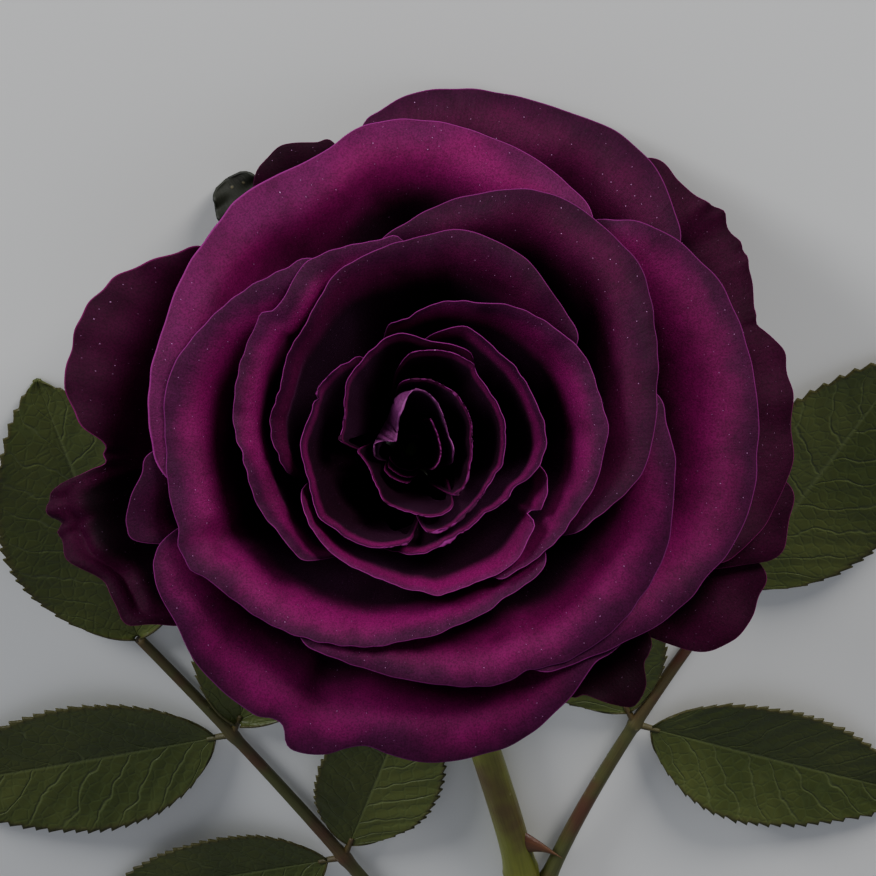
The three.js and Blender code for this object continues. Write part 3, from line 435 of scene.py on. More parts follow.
def petal_material(name, edge, rim, body, depth_shade, sheen=0.04, gloss=0.09):
    """Velvet: u runs across the petal in millimetres; v is the distance below the rim, in band widths. The
    colours paint light and shade: a thin painted highlight on the edge, a band of painted shade under it
    where the lip rolls away from the light, and painted shade deep below the rim.
    """
    m = Nodes(name)
    uv, _, v = m.uv()
    place = m.place()
    cloud = m.noise(place, 70, 4, 0.6)
    shifted = m.math("ADD", v, m.ramp(cloud, 0.3, 0.7, -2.2, 2.2, "LINEAR"))
    # painted shade: the band just under the rim is darker than the body, as the lip rolls away from the light
    color = m.mix(m.ramp(shifted, 0.6, 5.4), rim, body)
    # painted shade: far below the rim the colour darkens to near black, standing in for the shade in the
    # bloom's depths
    color = m.mix(m.ramp(shifted, 8.0, 16), color, depth_shade)
    patch = m.noise(place, 150, 3, 0.65)
    color = m.mix(m.ramp(patch, 0.38, 0.72, 0.0, 0.55), color, m.mix(0.6, color, (0.0, 0.0, 0.0)))
    streak = m.noise(m.scaled(uv, 3.4, 0.25), 1.0, 4, 0.7)
    mottle = m.noise(place, 3600, 3, 0.7)
    fibre = m.noise(m.scaled(uv, 9.0, 1.4), 1.0, 3, 0.7)
    color = m.mix(m.ramp(streak, 0.4, 0.75, 0.0, 0.22), color, m.mix(0.5, color, (0.0, 0.0, 0.0)))
    color = m.mix(m.ramp(mottle, 0.42, 0.62, 0.0, 0.6), color, m.mix(0.6, color, (0.0, 0.0, 0.0)))
    # the fibre streaks take the colour of the lip's painted shade
    color = m.mix(m.ramp(fibre, 0.52, 0.75, 0.0, 0.35), color, rim)
    # painted highlight: a thin lighter line along the very edge of each rim
    color = m.mix(m.ramp(v, 0.02, 0.22, 0.85, 0.0), color, edge)
    cells = m.add("ShaderNodeTexVoronoi", voronoi_dimensions="2D")
    m.put(cells.inputs["Vector"], uv)
    cells.inputs["Scale"].default_value = 0.62
    pick = m.add("ShaderNodeSeparateColor")
    m.link(cells.outputs["Color"], pick.inputs[0])
    size = m.ramp(pick.outputs[1], 0.0, 1.0, 0.008, 0.045, "LINEAR")
    dust = m.math("MULTIPLY", m.math("LESS_THAN", cells.outputs["Distance"], size),
                  m.math("GREATER_THAN", pick.outputs[0], 0.5))
    dust = m.math("MULTIPLY", dust, m.ramp(pick.outputs[2], 0.0, 1.0, 0.15, 0.75))
    color = m.mix(dust, color, (0.42, 0.20, 0.40))
    velvet = m.noise(place, 4200, 2, 0.5)
    height = m.math("ADD", m.math("MULTIPLY", streak, 0.30), m.math("MULTIPLY", mottle, 0.55))
    height = m.math("ADD", height, m.math("MULTIPLY", velvet, 0.25))
    return m.finish(color, m.ramp(streak, 0.3, 0.8, 0.6, 0.75), m.bump(height, 0.00018, 0.6),
                    Sheen_Weight=sheen, Sheen_Roughness=0.4, Sheen_Tint=(0.75, 0.2, 0.65, 1),
                    Specular_IOR_Level=gloss)


# Colours: the edge (a painted highlight), the band under it (painted shade on the lip), the body of the
# petal, and painted shade deep inside the bloom.
PETAL_SKIN = petal_material("petal_velvet", (0.18, 0.010, 0.13), (0.046, 0.0018, 0.028),
                            (0.128, 0.0, 0.058), (0.010, 0.0006, 0.005))
# painted light: a copy of the petal velvet with a brighter lip band, for petals that catch the light
LIT_SKIN = petal_material("petal_velvet_lit", (0.22, 0.014, 0.155), (0.090, 0.003, 0.050),
                           (0.132, 0.0, 0.058), (0.010, 0.0006, 0.005))
# painted shade: a darker copy of the petal velvet, for petals whose surfaces lie in shade
SHADE_SKIN = petal_material("petal_velvet_shaded", (0.17, 0.010, 0.12), (0.030, 0.0, 0.017),
                            (0.056, 0.0, 0.025), (0.005, 0.0003, 0.0025))
DARK_SKIN = petal_material("petal_withered", (0.07, 0.004, 0.035), (0.016, 0.0, 0.007),
                           (0.012, 0.0, 0.005), (0.003, 0.0, 0.0012), 0.03, 0.07)
GUARD_SKIN = petal_material("petal_guard", (0.15, 0.006, 0.08), (0.026, 0.0, 0.012),
                            (0.036, 0.0, 0.016), (0.005, 0.0, 0.0022), 0.03, 0.07)
# painted light: a brighter copy with more sheen, for the heart's folded lip that faces the light
HEART_LIT_SKIN = petal_material("petal_heart_lit", (0.22, 0.04, 0.18), (0.11, 0.012, 0.085),
                            (0.10, 0.003, 0.065), (0.004, 0.0004, 0.003), 0.1, 0.2)
# petals that wear the painted-shade copy of the velvet
SHADED = ("outer_petal_top", "middle_petal_upper_right", "middle_petal_ring_top", "tucked_petal_left")
DARK_GUARDS = ("guard_petal_dark", "guard_petal_top")
# petals that wear the painted-light copy of the velvet
LIT_PETALS = ("outer_petal_upper_left", "middle_petal_ring_bottom")


# ---- petals
# The angles, in degrees, at which a rim is crumpled.
CRUMPLES = {"inner_petal_left": (150,), "middle_petal_ring_bottom": (333.5,),
            "guard_petal_right": (21, 31, 39), "guard_petal_left": (181, 188, 192)}
# A crest beside the rim: its first and last angle, its distance below the rim and its height.
CRESTS = {"guard_petal_left": (184, 216, 3.0, 1.3), "middle_petal_ring_left": (112, 212, 4.2, -0.7),
          "middle_petal_ring_top": (136, 200, 3.2, -0.5), "middle_petal_left": (196, 216, 6.0, 0.8)}

COLUMN_WIDTH = 0.55  # millimetres between the columns of a petal's mesh
OUTER_FADE = 0.4  # the outer face of a petal fades towards its root more slowly than the inner one
# Petals that lie close to a neighbour ripple less, so that they don't cut into it.
CALM = {"middle_petal_lower_right": 0.5, "outer_petal_right": 0.6}


def around(angles, centre, width):
    """1 at an angle in degrees and 0 away from it."""
    return np.exp(-(((angles - centre + 180) % 360 - 180) / width) ** 2)


def fray(name, index, angles, mid_nest):
    """How far a rim strays from its drawn outline."""
    height = 0.22 if name in GUARDS else 0.07
    return waves(np.radians(angles), 30 + index, 20, 70, 7) * height * min(1, mid_nest / 25)


def ripples(name, index, angles, below, mid_nest):
    """How far each point moves along its normal: waves, crumples and a crest, fading below the rim."""
    guard = name in GUARDS
    turn = np.radians(angles)
    ripple = waves(turn, 60 + index, 14, 48, 6)[:, None] * np.exp(-below / (7 if guard else 2.5))
    ripple = ripple * (0.6 if guard else 0.15)
    ripple = ripple + 0.30 * waves(turn, 160 + index, 5, 14, 5)[:, None] * np.exp(-below / 6)
    ripple = ripple * min(1, mid_nest / 24) * CALM.get(name, 1.0)
    for centre in CRUMPLES.get(name, ()):
        knot = around(angles, centre, 1.6 if mid_nest > 25 else 3.0) * np.sin(angles * 90 / mid_nest)
        ripple = ripple + 0.75 * knot[:, None] * np.exp(-below / 1.8)
    if name in CRESTS:
        begin, finish, depth, height = CRESTS[name]
        share = smooth(begin, begin + 10, angles) * (1 - smooth(finish - 10, finish, angles))
        ripple = ripple + height * share[:, None] * np.exp(-((below - depth) / (0.4 * depth)) ** 2)
    return ripple


def fold_lip(grid, a, angles, below):
    """Folds the lip of the heart's top petal in over the heart; gives how far each column is turned."""
    turned = smooth(84, 104, angles % 360) * (1 - smooth(148, 172, angles % 360))
    lip = np.clip(1 - below / 3.4, 0, 1)
    inward = -np.stack([np.cos(a), np.sin(a)], -1)
    grid[..., :2] += inward * (2.7 * turned[:, None] * lip ** 1.6)[..., None]
    grid[..., 2] += turned[:, None] * (1.1 * np.sin(math.pi * lip) - 0.3 * lip)
    return turned


def band_scale(name, nest, angles, turned):
    """How wide the bright band below the rim is, as a share of its width on a petal 36 mm out; the painted
    shade of the depths begins below it.
    """
    scale = np.interp(nest, [4, 10, 15, 20, 25, 30, 36, 50], [0.09, 0.12, 0.24, 0.36, 0.5, 0.72, 1.0, 1.15])
    # the heart's folded lip keeps a wide band, painted as lit, clear of the painted shade
    scale = scale[:, None] + 0.7 * turned[:, None]
    if name == "outer_petal_upper_left":  # the widest band, painted as lit above all on its left side; towards its right side the painted shade comes nearer the rim
        scale = scale * (0.85 + 0.95 * smooth(88, 128, angles))[:, None]
    if name == "guard_petal_left":  # its lower lobe is dark to near the edge
        scale = scale * (1.3 - 0.95 * smooth(176, 188, angles))[:, None]
    elif name in GUARDS:
        scale = scale * 0.55
    return scale


def skin_of(name):
    if name in DARK_GUARDS:
        return DARK_SKIN
    if name in GUARDS:
        return GUARD_SKIN
    if name in SHADED:
        return SHADE_SKIN
    if name == "heart_petal_top":
        return HEART_LIT_SKIN
    if name in LIT_PETALS:
        return LIT_SKIN
    return PETAL_SKIN


def petal(name, index, nest_rows, rim_rows):
    nest_rows, rim_rows = unwrap(nest_rows), unwrap(rim_rows)
    first, last = nest_rows[0][0], nest_rows[-1][0]
    middle = (first + last) / 2
    mid_nest = float(curve(nest_rows, np.array([middle]))[0])
    length = (last - first) * math.radians(1) * mid_nest
    columns = int(np.clip(length / COLUMN_WIDTH, 70, 190))
    steps = int(np.clip(30 + mid_nest * 0.6, 34, 58))
    angles = np.linspace(first, last, columns)
    nest = curve(nest_rows, angles)
    rim = share_at(nest, curve(rim_rows, angles) + fray(name, index, angles, mid_nest))

    # The sides start higher up than the middle, as a petal narrows to its root.
    aside = np.abs(angles - middle) / (last - middle)
    start = rim * 0.75 * smooth(0.2, 1, aside)
    t = 1 - (1 - np.linspace(0, 1, steps)) ** 1.35
    s = start[:, None] + (rim - start)[:, None] * t[None, :]
    radius, height = section(np.broadcast_to(nest[:, None], s.shape), s)
    a = np.radians(angles)[:, None]
    x, y = radius * np.cos(a), radius * np.sin(a)
    step = np.hypot(np.diff(radius, axis=1), np.diff(height, axis=1))
    along = np.concatenate([np.zeros((columns, 1)), np.cumsum(step, axis=1)], axis=1)
    below = along[:, -1:] - along
    grid = np.stack([x, y, height + relief(x, y)], -1)
    grid = grid + normals_of(grid) * ripples(name, index, angles, below, mid_nest)[..., None]
    turned = fold_lip(grid, a, angles, below) if name == "heart_petal_top" else np.zeros(columns)

    thick = 0.30 - 0.20 * np.exp(-below / 0.6)
    thick = thick * (0.6 + 0.4 * smooth(0, 0.5, np.broadcast_to(t[None, :], thick.shape)))
    across = np.broadcast_to(a * mid_nest + 40 * index, below.shape)
    uv = np.stack([across, below / band_scale(name, nest, angles, turned)], -1)
    obj = solid_from("petal_" + name, to_row(grid), thick, uv, skin_of(name), OUTER_FADE)
    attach(obj, "root")
    if name in NEST:
        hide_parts(name)


for k, petal_name in enumerate(NEST):
    petal(petal_name, k, NEST[petal_name], RIM[petal_name])

# Lips that curl inside the heart: the nest, the first and last angle, and how far out the rim comes.
CURLS = [(2.0, 196, 338, 2.0), (1.3, 170, 318, 1.3), (4.0, 190, 306, 3.8), (5.0, 196, 288, 4.6)]
for k, (nest, first, last, reach) in enumerate(CURLS):
    quarter = (last - first) / 4
    petal("heart_curl_%d" % (k + 1), 40 + k, [(first, nest), (last, nest)],
          [(first, 0.62 * reach), (first + quarter, reach), (last - quarter, reach), (last, 0.62 * reach)])

# ---- the green pieces
HIP_FOOT = 13.689  # how far down the bloom's axis the hip ends
NECK_TOP = np.array([0.0, 0.0, PART_ROOT_Z]) - W * (HIP_FOOT + GAP)


def centripetal(points, share):
    """A point of an open centripetal Catmull-Rom curve at a share of its length, and the curve's points."""
    P = [np.array(p, float) for p in points]
    P = [2 * P[0] - P[1]] + P + [2 * P[-1] - P[-2]]
    out = []
    for k in range(1, len(P) - 2):
        x0, x1, x2, x3 = P[k - 1:k + 3]
        d0, d1, d2 = (max(np.linalg.norm(b - a) ** 0.5, 1e-4) for a, b in ((x0, x1), (x1, x2), (x2, x3)))
        t1 = ((x1 - x0) / d0 - (x2 - x0) / (d0 + d1) + (x2 - x1) / d1) * d1
        t2 = ((x2 - x1) / d1 - (x3 - x1) / (d1 + d2) + (x3 - x2) / d2) * d1
        for s in np.linspace(0, 1, 60, endpoint=False):
            out.append(x1 * (2 * s ** 3 - 3 * s * s + 1) + x2 * (3 * s * s - 2 * s ** 3)
                       + t1 * (s ** 3 - 2 * s * s + s) + t2 * (s ** 3 - s * s))
    out.append(P[-2])
    out = np.array(out)
    length = np.concatenate([[0], np.cumsum(np.linalg.norm(np.diff(out, axis=0), axis=1))])
    length /= length[-1]
    return np.stack([np.interp(share, length, out[:, k]) for k in range(3)], -1)


STEM_SWAY = [(3.5, -34), (8.5, -62), (16.5, -98), (20, -140), (22.5, -185), (18, -215),
             (15, NECK_TOP[1] - STEM_LENGTH)]
NECK_BEND = (1.6, NECK_TOP[1] - 0.62 * NECK_LENGTH, STEM_RADIUS + 0.18 * (NECK_TOP[2] - STEM_RADIUS))
STEM_POINTS = [NECK_TOP, NECK_TOP - W * 0.22 * NECK_LENGTH, NECK_BEND]
STEM_POINTS += [(x, y, STEM_RADIUS) for x, y in STEM_SWAY]
LEAF_NODES = (-98, -140, -190)


def stem_radius(y):
    share = np.clip((NECK_TOP[1] - y) / STEM_LENGTH, 0, 1)
    swell = sum(0.4 * np.exp(-((y - n) / 3.5) ** 2) for n in LEAF_NODES)
    return NECK_RADIUS + (STEM_RADIUS - 0.4 - NECK_RADIUS) * share + np.minimum(swell, 0.4)


def tube_faces(rings, sides):
    """The faces of a closed tube: its sides, then its two ends."""
    i, k = np.meshgrid(np.arange(rings - 1), np.arange(sides), indexing="ij")
    a, b = i * sides, (k + 1) % sides
    quads = np.stack([a + k, a + sides + k, a + sides + b, a + b], -1).reshape(-1, 4)
    ends = [tuple(range(sides)), tuple(range(rings * sides - 1, (rings - 1) * sides - 1, -1))]
    return [tuple(q) for q in quads] + ends


def tube(name, path, radius, sides, material):
    """A closed tube along a path in the part's layout, in millimetres."""
    n = len(path)
    tangent = np.gradient(path, axis=0)
    tangent /= np.linalg.norm(tangent, axis=1, keepdims=True)
    side = np.cross(tangent, np.array([0, 0, 1.0]))
    side /= np.linalg.norm(side, axis=1, keepdims=True)
    up = np.cross(side, tangent)
    turn = np.linspace(0, 2 * math.pi, sides, endpoint=False)
    if np.ndim(radius) == 1:
        radius = np.repeat(radius[:, None], sides, 1)
    ring = (path[:, None] + radius[..., None] * (np.cos(turn)[None, :, None] * side[:, None]
            + np.sin(turn)[None, :, None] * up[:, None]))
    along = np.concatenate([[0], np.cumsum(np.linalg.norm(np.diff(path, axis=0), axis=1))])
    uv = np.stack(np.broadcast_arrays(turn[None, :], along[:, None]), -1).reshape(-1, 2)
    verts = (ring.reshape(-1, 3) + SHIFT) * MM
    return mesh_object(name, verts, tube_faces(n, sides), uv, material)


def leaf_material():
    m = Nodes("leaf_green")
    _, u, v = m.uv()
    place = m.place()
    side = m.math("ABSOLUTE", u)
    wobble = m.ramp(m.noise(place, 160, 2), 0.3, 0.7, -0.25, 0.25, "LINEAR")
    count = m.math("SUBTRACT", m.math("MULTIPLY", v, 9.0), m.math("MULTIPLY", side, 1.9))
    count = m.math("ADD", count, wobble)
    count = m.math("ADD", count, m.math("MULTIPLY", m.math("GREATER_THAN", u, 0.0), 0.5))
    line = m.math("ABSOLUTE", m.math("SUBTRACT", m.math("FRACT", count), 0.5))
    veins = m.math("MULTIPLY", m.ramp(line, 0.0, 0.075, 1.0, 0.0), m.ramp(side, 0.75, 1.0, 1.0, 0.2))
    midrib = m.ramp(side, 0.0, 0.05, 1.0, 0.0)
    veins = m.math("MAXIMUM", veins, midrib)
    cells = m.add("ShaderNodeTexVoronoi", feature="DISTANCE_TO_EDGE")
    m.put(cells.inputs["Vector"], place)
    cells.inputs["Scale"].default_value = 620
    net = m.ramp(cells.outputs["Distance"], 0.0, 0.16, 1.0, 0.0)
    tone = m.noise(place, 45, 3, 0.6)
    color = m.mix(m.ramp(tone, 0.3, 0.7), (0.036, 0.049, 0.009), (0.068, 0.082, 0.018))
    color = m.mix(m.math("MULTIPLY", net, 0.18), color, (0.06, 0.09, 0.03))
    color = m.mix(m.math("MULTIPLY", veins, 0.45), color, (0.10, 0.125, 0.045))
    color = m.mix(m.ramp(side, 0.9, 1.0, 0.0, 0.5), color, (0.05, 0.03, 0.012))
    height = m.math("SUBTRACT", m.math("MULTIPLY", net, -0.25), m.math("MULTIPLY", veins, 0.8))
    return m.finish(color, m.ramp(tone, 0.3, 0.7, 0.38, 0.52), m.bump(height, 0.00028, 0.6),
                    Specular_IOR_Level=0.3)


def stalk_material(name, green, red, rough):
    m = Nodes(name)
    uv, _, _ = m.uv()
    place = m.place()
    patch = m.noise(place, 70, 3, 0.6)
    fibre = m.noise(m.scaled(uv, 5.0, 0.12), 1.0, 4, 0.6)
    color = m.mix(m.ramp(patch, 0.42, 0.68), green, red)
    color = m.mix(m.ramp(fibre, 0.35, 0.75, 0.0, 0.45), color, m.mix(0.5, color, (0.0, 0.0, 0.0)))
    cells = m.add("ShaderNodeTexVoronoi")
    m.put(cells.inputs["Vector"], place)
    cells.inputs["Scale"].default_value = 380
    pore = m.ramp(cells.outputs["Distance"], 0.05, 0.13, 1.0, 0.0)
    color = m.mix(m.math("MULTIPLY", pore, 0.35), color, (0.22, 0.19, 0.10))
    height = m.math("ADD", m.math("MULTIPLY", fibre, 0.6), m.math("MULTIPLY", pore, 0.3))
    return m.finish(color, m.ramp(fibre, 0.3, 0.8, rough, rough + 0.15), m.bump(height, 0.00025, 0.6),
                    Specular_IOR_Level=0.4)


LEAF = leaf_material()
STEM_SKIN = stalk_material("stem_skin", (0.125, 0.140, 0.020), (0.080, 0.055, 0.016), 0.38)
STALK_SKIN = stalk_material("leaf_stalk_skin", (0.070, 0.075, 0.020), (0.085, 0.030, 0.016), 0.42)
HIP_SKIN = stalk_material("hip_skin", (0.060, 0.085, 0.020), (0.045, 0.045, 0.014), 0.42)
SEPAL_SKIN = stalk_material("sepal_skin", (0.009, 0.011, 0.005), (0.009, 0.005, 0.005), 0.6)
PRICKLE_SKIN = stalk_material("prickle_skin", (0.10, 0.045, 0.016), (0.075, 0.016, 0.010), 0.35)


def part_of(obj, node):
    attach(obj, "root")
    if node:
        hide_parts(node)
    return obj


def stem():
    """The stem, a little ribbed and twisted, with the scar that rings it at each leaf."""
    share = np.linspace(0, 1, 420)
    sides = 40
    path = centripetal(STEM_POINTS, share)
    turn = np.linspace(0, 2 * math.pi, sides, endpoint=False)
    ribs = 0.018 * np.sin(5 * turn + 1.3)[None, :]
    twist = 0.012 * np.sin(2 * turn[None, :] + 14 * share[:, None])
    radius = stem_radius(path[:, 1])[:, None] * (1 + ribs + twist)
    for node in LEAF_NODES:
        radius = radius + 0.12 * np.exp(-((path[:, 1:2] - node - 1.5) / 0.5) ** 2)
    part_of(tube("stem_with_nodes", path, radius, sides, STEM_SKIN), "stem")


def prickle(index, where, degrees):
    centre = centripetal(STEM_POINTS, np.array([where]))[0]
    ahead = centripetal(STEM_POINTS, np.array([where + 0.004]))[0]
    along = (ahead - centre) / np.linalg.norm(ahead - centre)
    out = np.array([math.sin(math.radians(degrees)), 0, math.cos(math.radians(degrees))])
    out -= along * out.dot(along)
    out /= np.linalg.norm(out)
    across = np.cross(along, out)
    base = float(stem_radius(np.array(centre[1])))
    rings, sides = 12, 16
    turn = np.linspace(0, 2 * math.pi, sides, endpoint=False)
    verts, uvs = [], []
    for i in range(rings):
        t = i / (rings - 1)
        h = base - 0.5 + (5.0 + 0.5) * t
        hook = 2.6 * t ** 1.7
        wide, long = 0.85 * (1 - t) ** 1.15 + 0.03, 2.1 * (1 - t) ** 1.35 + 0.03
        for a in turn:
            verts.append(centre + out * h + along * (hook + long * math.cos(a)) + across * wide * math.sin(a))
            uvs.append((a, t * 5))
    faces = tube_faces(rings, sides)  # these rings turn the other way round, so every face is turned over
    faces = [face[:1] + face[:0:-1] for face in faces[:-2]] + [face[::-1] for face in faces[-2:]]
    verts = (np.array(verts) + SHIFT) * MM
    obj = mesh_object("prickle_%d" % index, verts, faces, np.array(uvs), PRICKLE_SKIN)
    part_of(obj, None)


stem()
# Each prickle's place, as a share of the stem's length, and the degrees it leans from straight up.
PRICKLES = [(0.36, 70), (0.46, -62), (0.57, 35), (0.66, -75), (0.74, 60), (0.83, -30), (0.91, 72)]
for k, (where, degrees) in enumerate(PRICKLES):
    prickle(k + 1, where, degrees)


def hip_profile():
    """The hip's outline from its top to the neck, as radius and height: a dome, then an urn."""
    nests = np.linspace(1.2, 68, 26)
    dome_r, dome_z = section(nests, 0.0)
    r0, z0 = section(nests - 0.5, 0.0)
    r1, z1 = section(nests + 0.5, 0.0)
    inward = np.stack([z1 - z0, r0 - r1], -1)
    inward *= (GAP + PETAL / 2) / np.linalg.norm(inward, axis=1, keepdims=True)
    dome = np.stack([np.maximum(dome_r + inward[:, 0], 0.05), dome_z + inward[:, 1]], -1)
    rim_r, rim_z = dome[-1]
    drop = np.linspace(0.04, 1, 30)
    narrowing = [1, 0.98, 0.86, 0.62, NECK_RADIUS * 1.15 / rim_r, NECK_RADIUS / rim_r]
    urn_r = rim_r * np.interp(drop, [0, 0.16, 0.4, 0.68, 0.92, 1], narrowing)
    urn_r = np.convolve(np.pad(urn_r, 2, "edge"), np.ones(5) / 5, "valid")
    urn = np.stack([urn_r, rim_z - drop * HIP_LENGTH], -1)
    return np.concatenate([dome, urn]), rim_z


def hip():
    profile, rim_z = hip_profile()
    turn = np.linspace(0, 2 * math.pi, 60, endpoint=False)
    ribs = 1 + 0.02 * np.cos(5 * turn)[None, :] * smooth(0, 1, (rim_z + 1 - profile[:, 1]) / 3)[:, None]
    ring = np.stack([profile[:, :1] * np.cos(turn) * ribs, profile[:, :1] * np.sin(turn) * ribs,
                     np.repeat(profile[:, 1:], len(turn), 1)], -1)
    n, sides = ring.shape[:2]
    uv = np.stack(np.broadcast_arrays(turn[None, :] * 3, profile[:, 1:2]), -1).reshape(-1, 2)
    verts = to_row(ring).reshape(-1, 3) * MM
    part_of(mesh_object("hip_urn", verts, tube_faces(n, sides), uv, HIP_SKIN), "hip")


hip()


# Sepals: the angle, the nest, how far out the tip comes and how leafy the tip is.
SEPALS = [(52, 63, 34, 0), (124, 61, 46.5, 1), (196, 66, 40, 0), (268, 67, 37, 0.5), (340, 65, 36, 0)]


def sepal(index, angle, nest, reach, lobe):
    end = float(share_at(np.array([float(nest)]), np.array([float(reach)]))[0])
    along = np.linspace(0, 1, 70)
    across = np.linspace(-1, 1, 25)
    s = end * along
    radius, height = section(np.full_like(s, nest), s)
    taper = 0.10 + 0.90 * (1 - along) ** 0.8 * (0.75 + 0.25 * smooth(0, 0.25, along))
    taper = taper * np.sqrt(np.clip((1 - along) / 0.12, 0.02, 1))
    blade = np.sqrt(np.clip(1 - ((along - 0.85) / 0.15) ** 2, 0, 1))
    taper = np.maximum(taper, lobe * 0.85 * blade)
    wave = waves(along * 30, 90 + index, 0.8, 2.4, 5)
    half = 5.0 * taper * (1 + 0.12 * wave)
    turn = np.radians(angle) + across[:, None] * half[None, :] / radius[None, :]
    r = np.broadcast_to(radius, turn.shape)
    z = height[None, :] + 0.5 * across[:, None] ** 2 * np.minimum(half, 2.5) * 0.6
    z = z + 0.5 * waves(along * 9, 70 + index, 0.5, 1.5)[None, :] * smooth(0.4, 1, along)[None, :]
    z = z + 1.3 * across[:, None] ** 2 * (lobe * blade)[None, :] * (1 + 0.5 * np.sin(along * 60 + 2))[None, :]
    grid = np.stack([r * np.cos(turn), r * np.sin(turn), z], -1)
    uv = np.stack([np.broadcast_to(across[:, None] * 3 + 9 * index, turn.shape),
                   np.broadcast_to(along[None, :] * 40, turn.shape)], -1)
    obj = solid_from("sepal_%d_green" % index, to_row(grid), 0.32, uv, SEPAL_SKIN)
    part_of(obj, "sepal_%d" % index)


for k, row in enumerate(SEPALS):
    sepal(k + 1, *row)


# Compound leaves: the name, where it leaves the stem, the side, the end of its stalk, its heading, and each
# pair of leaflets as (share of the stalk, right heading, left heading, size).
RACHIS, LEAF_THICK, LEAFLET_LENGTH, LEAFLET_WIDTH = 0.9, 0.5, 50.0, 28.0
LEAVES = [
    ("leaf_right", -98, 1, (47, -42), 60, [(0.52, -20, 112, 0.84)]),
    ("leaf_left", -140, -1, (-40, -52), 106, [(0.78, 71, 194, 0.9), (0.5, 72, 194, 0.68)]),
    ("leaf_low", -190, 1, (72, -134), 48, [(0.8, -22, 112, 0.86), (0.42, -30, 104, 0.72)]),
]


def leaflet(node, index, base, heading, size):
    length, half = LEAFLET_LENGTH * size, LEAFLET_WIDTH * size / 2
    a = math.radians(heading)
    along = np.array([math.cos(a), math.sin(a), 0])
    across = np.array([-along[1], along[0], 0])
    s = np.linspace(0, 1, 150)
    q = np.linspace(-1, 1, 41)
    width = half * np.maximum(0.05, np.sin(math.pi * s ** 0.82) ** 0.75)
    teeth = 24
    saw = (s * teeth) % 1.0
    tooth = (saw ** 1.3) * 0.75 * smooth(0.04, 0.15, s) * (1 - smooth(0.93, 1.0, s)) * min(1, size + 0.1)
    edge = np.abs(q[:, None]) ** 14
    w = width[None, :] * 0.98 + edge * (tooth[None, :] - 0.35)
    x = s[None, :] * length + edge * tooth[None, :] * 0.5
    rise = (base[2] - LEAF_THICK) * (1 - s) ** 2 + LEAF_THICK / 2 + 0.1
    vein = ((s[None, :] * 9 - np.abs(q[:, None]) * 1.9 + 0.5 * (q[:, None] > 0)) % 1.0)
    pillow = 0.16 * np.sin(math.pi * vein) * smooth(0.04, 0.3, np.abs(q[:, None]))
    pillow = pillow * smooth(0, 0.15, s)[None, :]
    fold = (0.13 * np.abs(q[:, None]) * width[None, :] + 0.5 * np.sin(math.pi * s)[None, :]
            + 0.45 * (1 + waves(s * 10, 200 + index, 0.6, 1.8))[None, :] * np.abs(q[:, None]) ** 2)
    z = rise[None, :] + fold + pillow
    p = np.zeros((len(q), len(s), 3))
    p[..., 0] = base[0] + along[0] * x - across[0] * w * q[:, None]
    p[..., 1] = base[1] + along[1] * x - across[1] * w * q[:, None]
    p[..., 2] = np.maximum(z, 0.3)
    uv = np.stack(np.broadcast_arrays(q[:, None], s[None, :]), -1)
    obj = solid_from(node + "_blade", p + SHIFT, 0.34, uv, LEAF)
    part_of(obj, node)


def compound_leaf(index, name, node_y, side, tip, heading, pairs):
    whole = centripetal(STEM_POINTS, np.linspace(0, 1, 4000))
    centre = whole[np.argmin(np.abs(whole[:, 1] - node_y))]
    clear = float(stem_radius(np.array(float(node_y)))) + GAP + RACHIS
    start = np.array([centre[0] + side * clear, node_y, centre[2]])
    end = np.array([tip[0], tip[1], RACHIS + 0.6])
    bow = start + (end - start) * 0.4
    bow[0] -= side * 0.05 * np.linalg.norm(end - start)
    bow[2] = end[2] + 0.35 * (start[2] - end[2])
    t = np.linspace(0, 1, 160)[:, None]
    path = start * (1 - t) ** 2 + bow * 2 * t * (1 - t) + end * t * t
    length = np.concatenate([[0], np.cumsum(np.linalg.norm(np.diff(path, axis=0), axis=1))])
    length /= length[-1]
    radius = RACHIS * (1.35 - 0.5 * t[:, 0])
    radius = radius + 0.25 * np.exp(-t[:, 0] / 0.02)
    for pair in pairs:
        radius = radius + 0.22 * np.exp(-((length - pair[0]) / 0.012) ** 2)
    part_of(tube(name + "_stalk_tube", path, radius, 20, STALK_SKIN), name + "_stalk")

    def step(angle, distance):
        return np.array([math.cos(math.radians(angle)), math.sin(math.radians(angle)), 0]) * distance

    leaflet(name + "_leaflet_end", 10 * index, end + step(heading, GAP + LEAF_THICK / 2), heading, 1.0)
    for i, (where, right, left, size) in enumerate(pairs):
        at = np.array([np.interp(where, length, path[:, k]) for k in range(3)])
        off = RACHIS * 1.35 + GAP + 1.2
        for k, (label, angle) in enumerate((("right", right), ("left", left))):
            seed = 10 * index + 2 * i + k + 1
            leaflet("%s_leaflet_%d_%s" % (name, i + 1, label), seed, at + step(angle, off), angle, size)
            # The short stalk that joins the leaflet to the leaf's own stalk.
            a, b = at + step(angle, RACHIS * 0.5), at + step(angle, off + 1.2)
            b = b + np.array([0, 0, -0.1])
            u = np.linspace(0, 1, 12)[:, None]
            part_of(tube("%s_petiolule_%d_%s" % (name, i + 1, label), a * (1 - u) + b * u,
                         0.55 - 0.15 * u[:, 0], 12, STALK_SKIN), None)


for k, row in enumerate(LEAVES):
    compound_leaf(k + 1, *row)


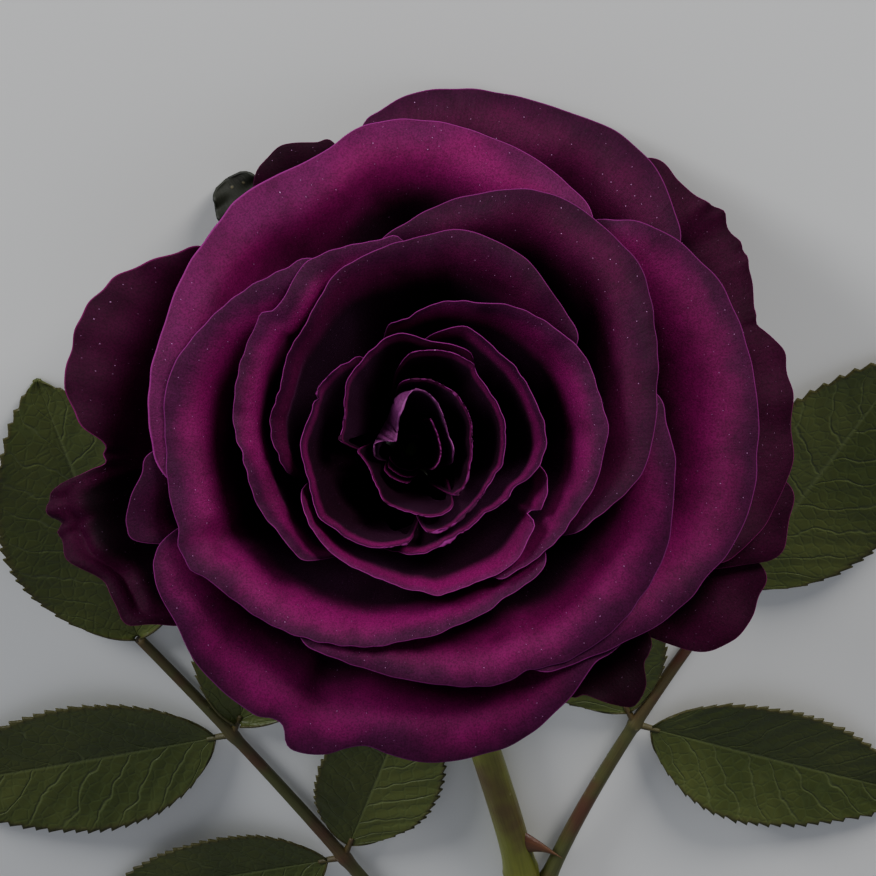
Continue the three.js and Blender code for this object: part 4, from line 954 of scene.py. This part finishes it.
# ---- floor, light and camera
def flat_material(name, color):
    m = Nodes(name)
    speck = m.noise(m.place(), 40, 2)
    return m.finish(m.mix(m.ramp(speck, 0.3, 0.7, 0.0, 0.04), color, tuple(0.9 * c for c in color)), 0.7)


def studio():
    """The floor, and the soft light from all round."""
    bpy.ops.mesh.primitive_plane_add(size=6, location=(0, 0, 0))
    floor = bpy.context.object
    floor.name = "floor"
    floor.data.materials.append(flat_material("floor_paint", (0.80, 0.80, 0.78)))
    world = bpy.data.worlds.new("studio")
    bpy.context.scene.world = world
    world.use_nodes = True
    background = world.node_tree.nodes["Background"]
    background.inputs[0].default_value = (0.86, 0.90, 1.0, 1)
    background.inputs[1].default_value = 0.28


def area_light(name, direction, distance, size, power, color):
    light = bpy.data.lights.new(name, "AREA")
    light.shape = "DISK"
    light.size = size
    light.energy = power
    light.color = color
    obj = bpy.data.objects.new(name, light)
    bpy.context.scene.collection.objects.link(obj)
    target = Vector(ROOT * MM) + Vector(W) * 0.035
    d = Vector(direction).normalized()
    obj.location = target + d * distance
    obj.rotation_euler = d.to_track_quat("Z", "Y").to_euler()


def toward(right, up, out):
    return np.array([right, 0, 0]) + np.array(V) * up + np.array(W) * out


FRAME_WIDTH, DISTANCE = 121.7, 1500.0  # the width of the view at the bloom, and the camera's distance
AIM = (3.9, 1.7, 38.0)  # the middle of the view, from the bloom's root along X, V and W
SENSOR = 36


def photo_camera():
    """A camera on the bloom's axis, as in the photograph."""
    data = bpy.data.cameras.new("camera")
    data.sensor_width = SENSOR
    data.lens = SENSOR * DISTANCE / FRAME_WIDTH
    data.clip_end = 20
    camera = bpy.data.objects.new("camera", data)
    bpy.context.scene.collection.objects.link(camera)
    eye = ROOT + np.array([AIM[0], 0, 0]) + V * AIM[1] + W * (AIM[2] + DISTANCE)
    rows = [[x, V[k], W[k], eye[k] * MM] for k, x in enumerate((1, 0, 0))]
    camera.matrix_world = Matrix(rows + [[0, 0, 0, 1]])
    bpy.context.scene.camera = camera


studio()
area_light("key", toward(0.42, 0.50, 0.74), 1.3, 0.5, 17, (1.0, 0.98, 0.96))
area_light("side", toward(-0.72, 0.38, 0.62), 1.5, 0.6, 20, (0.95, 0.97, 1.0))
photo_camera()
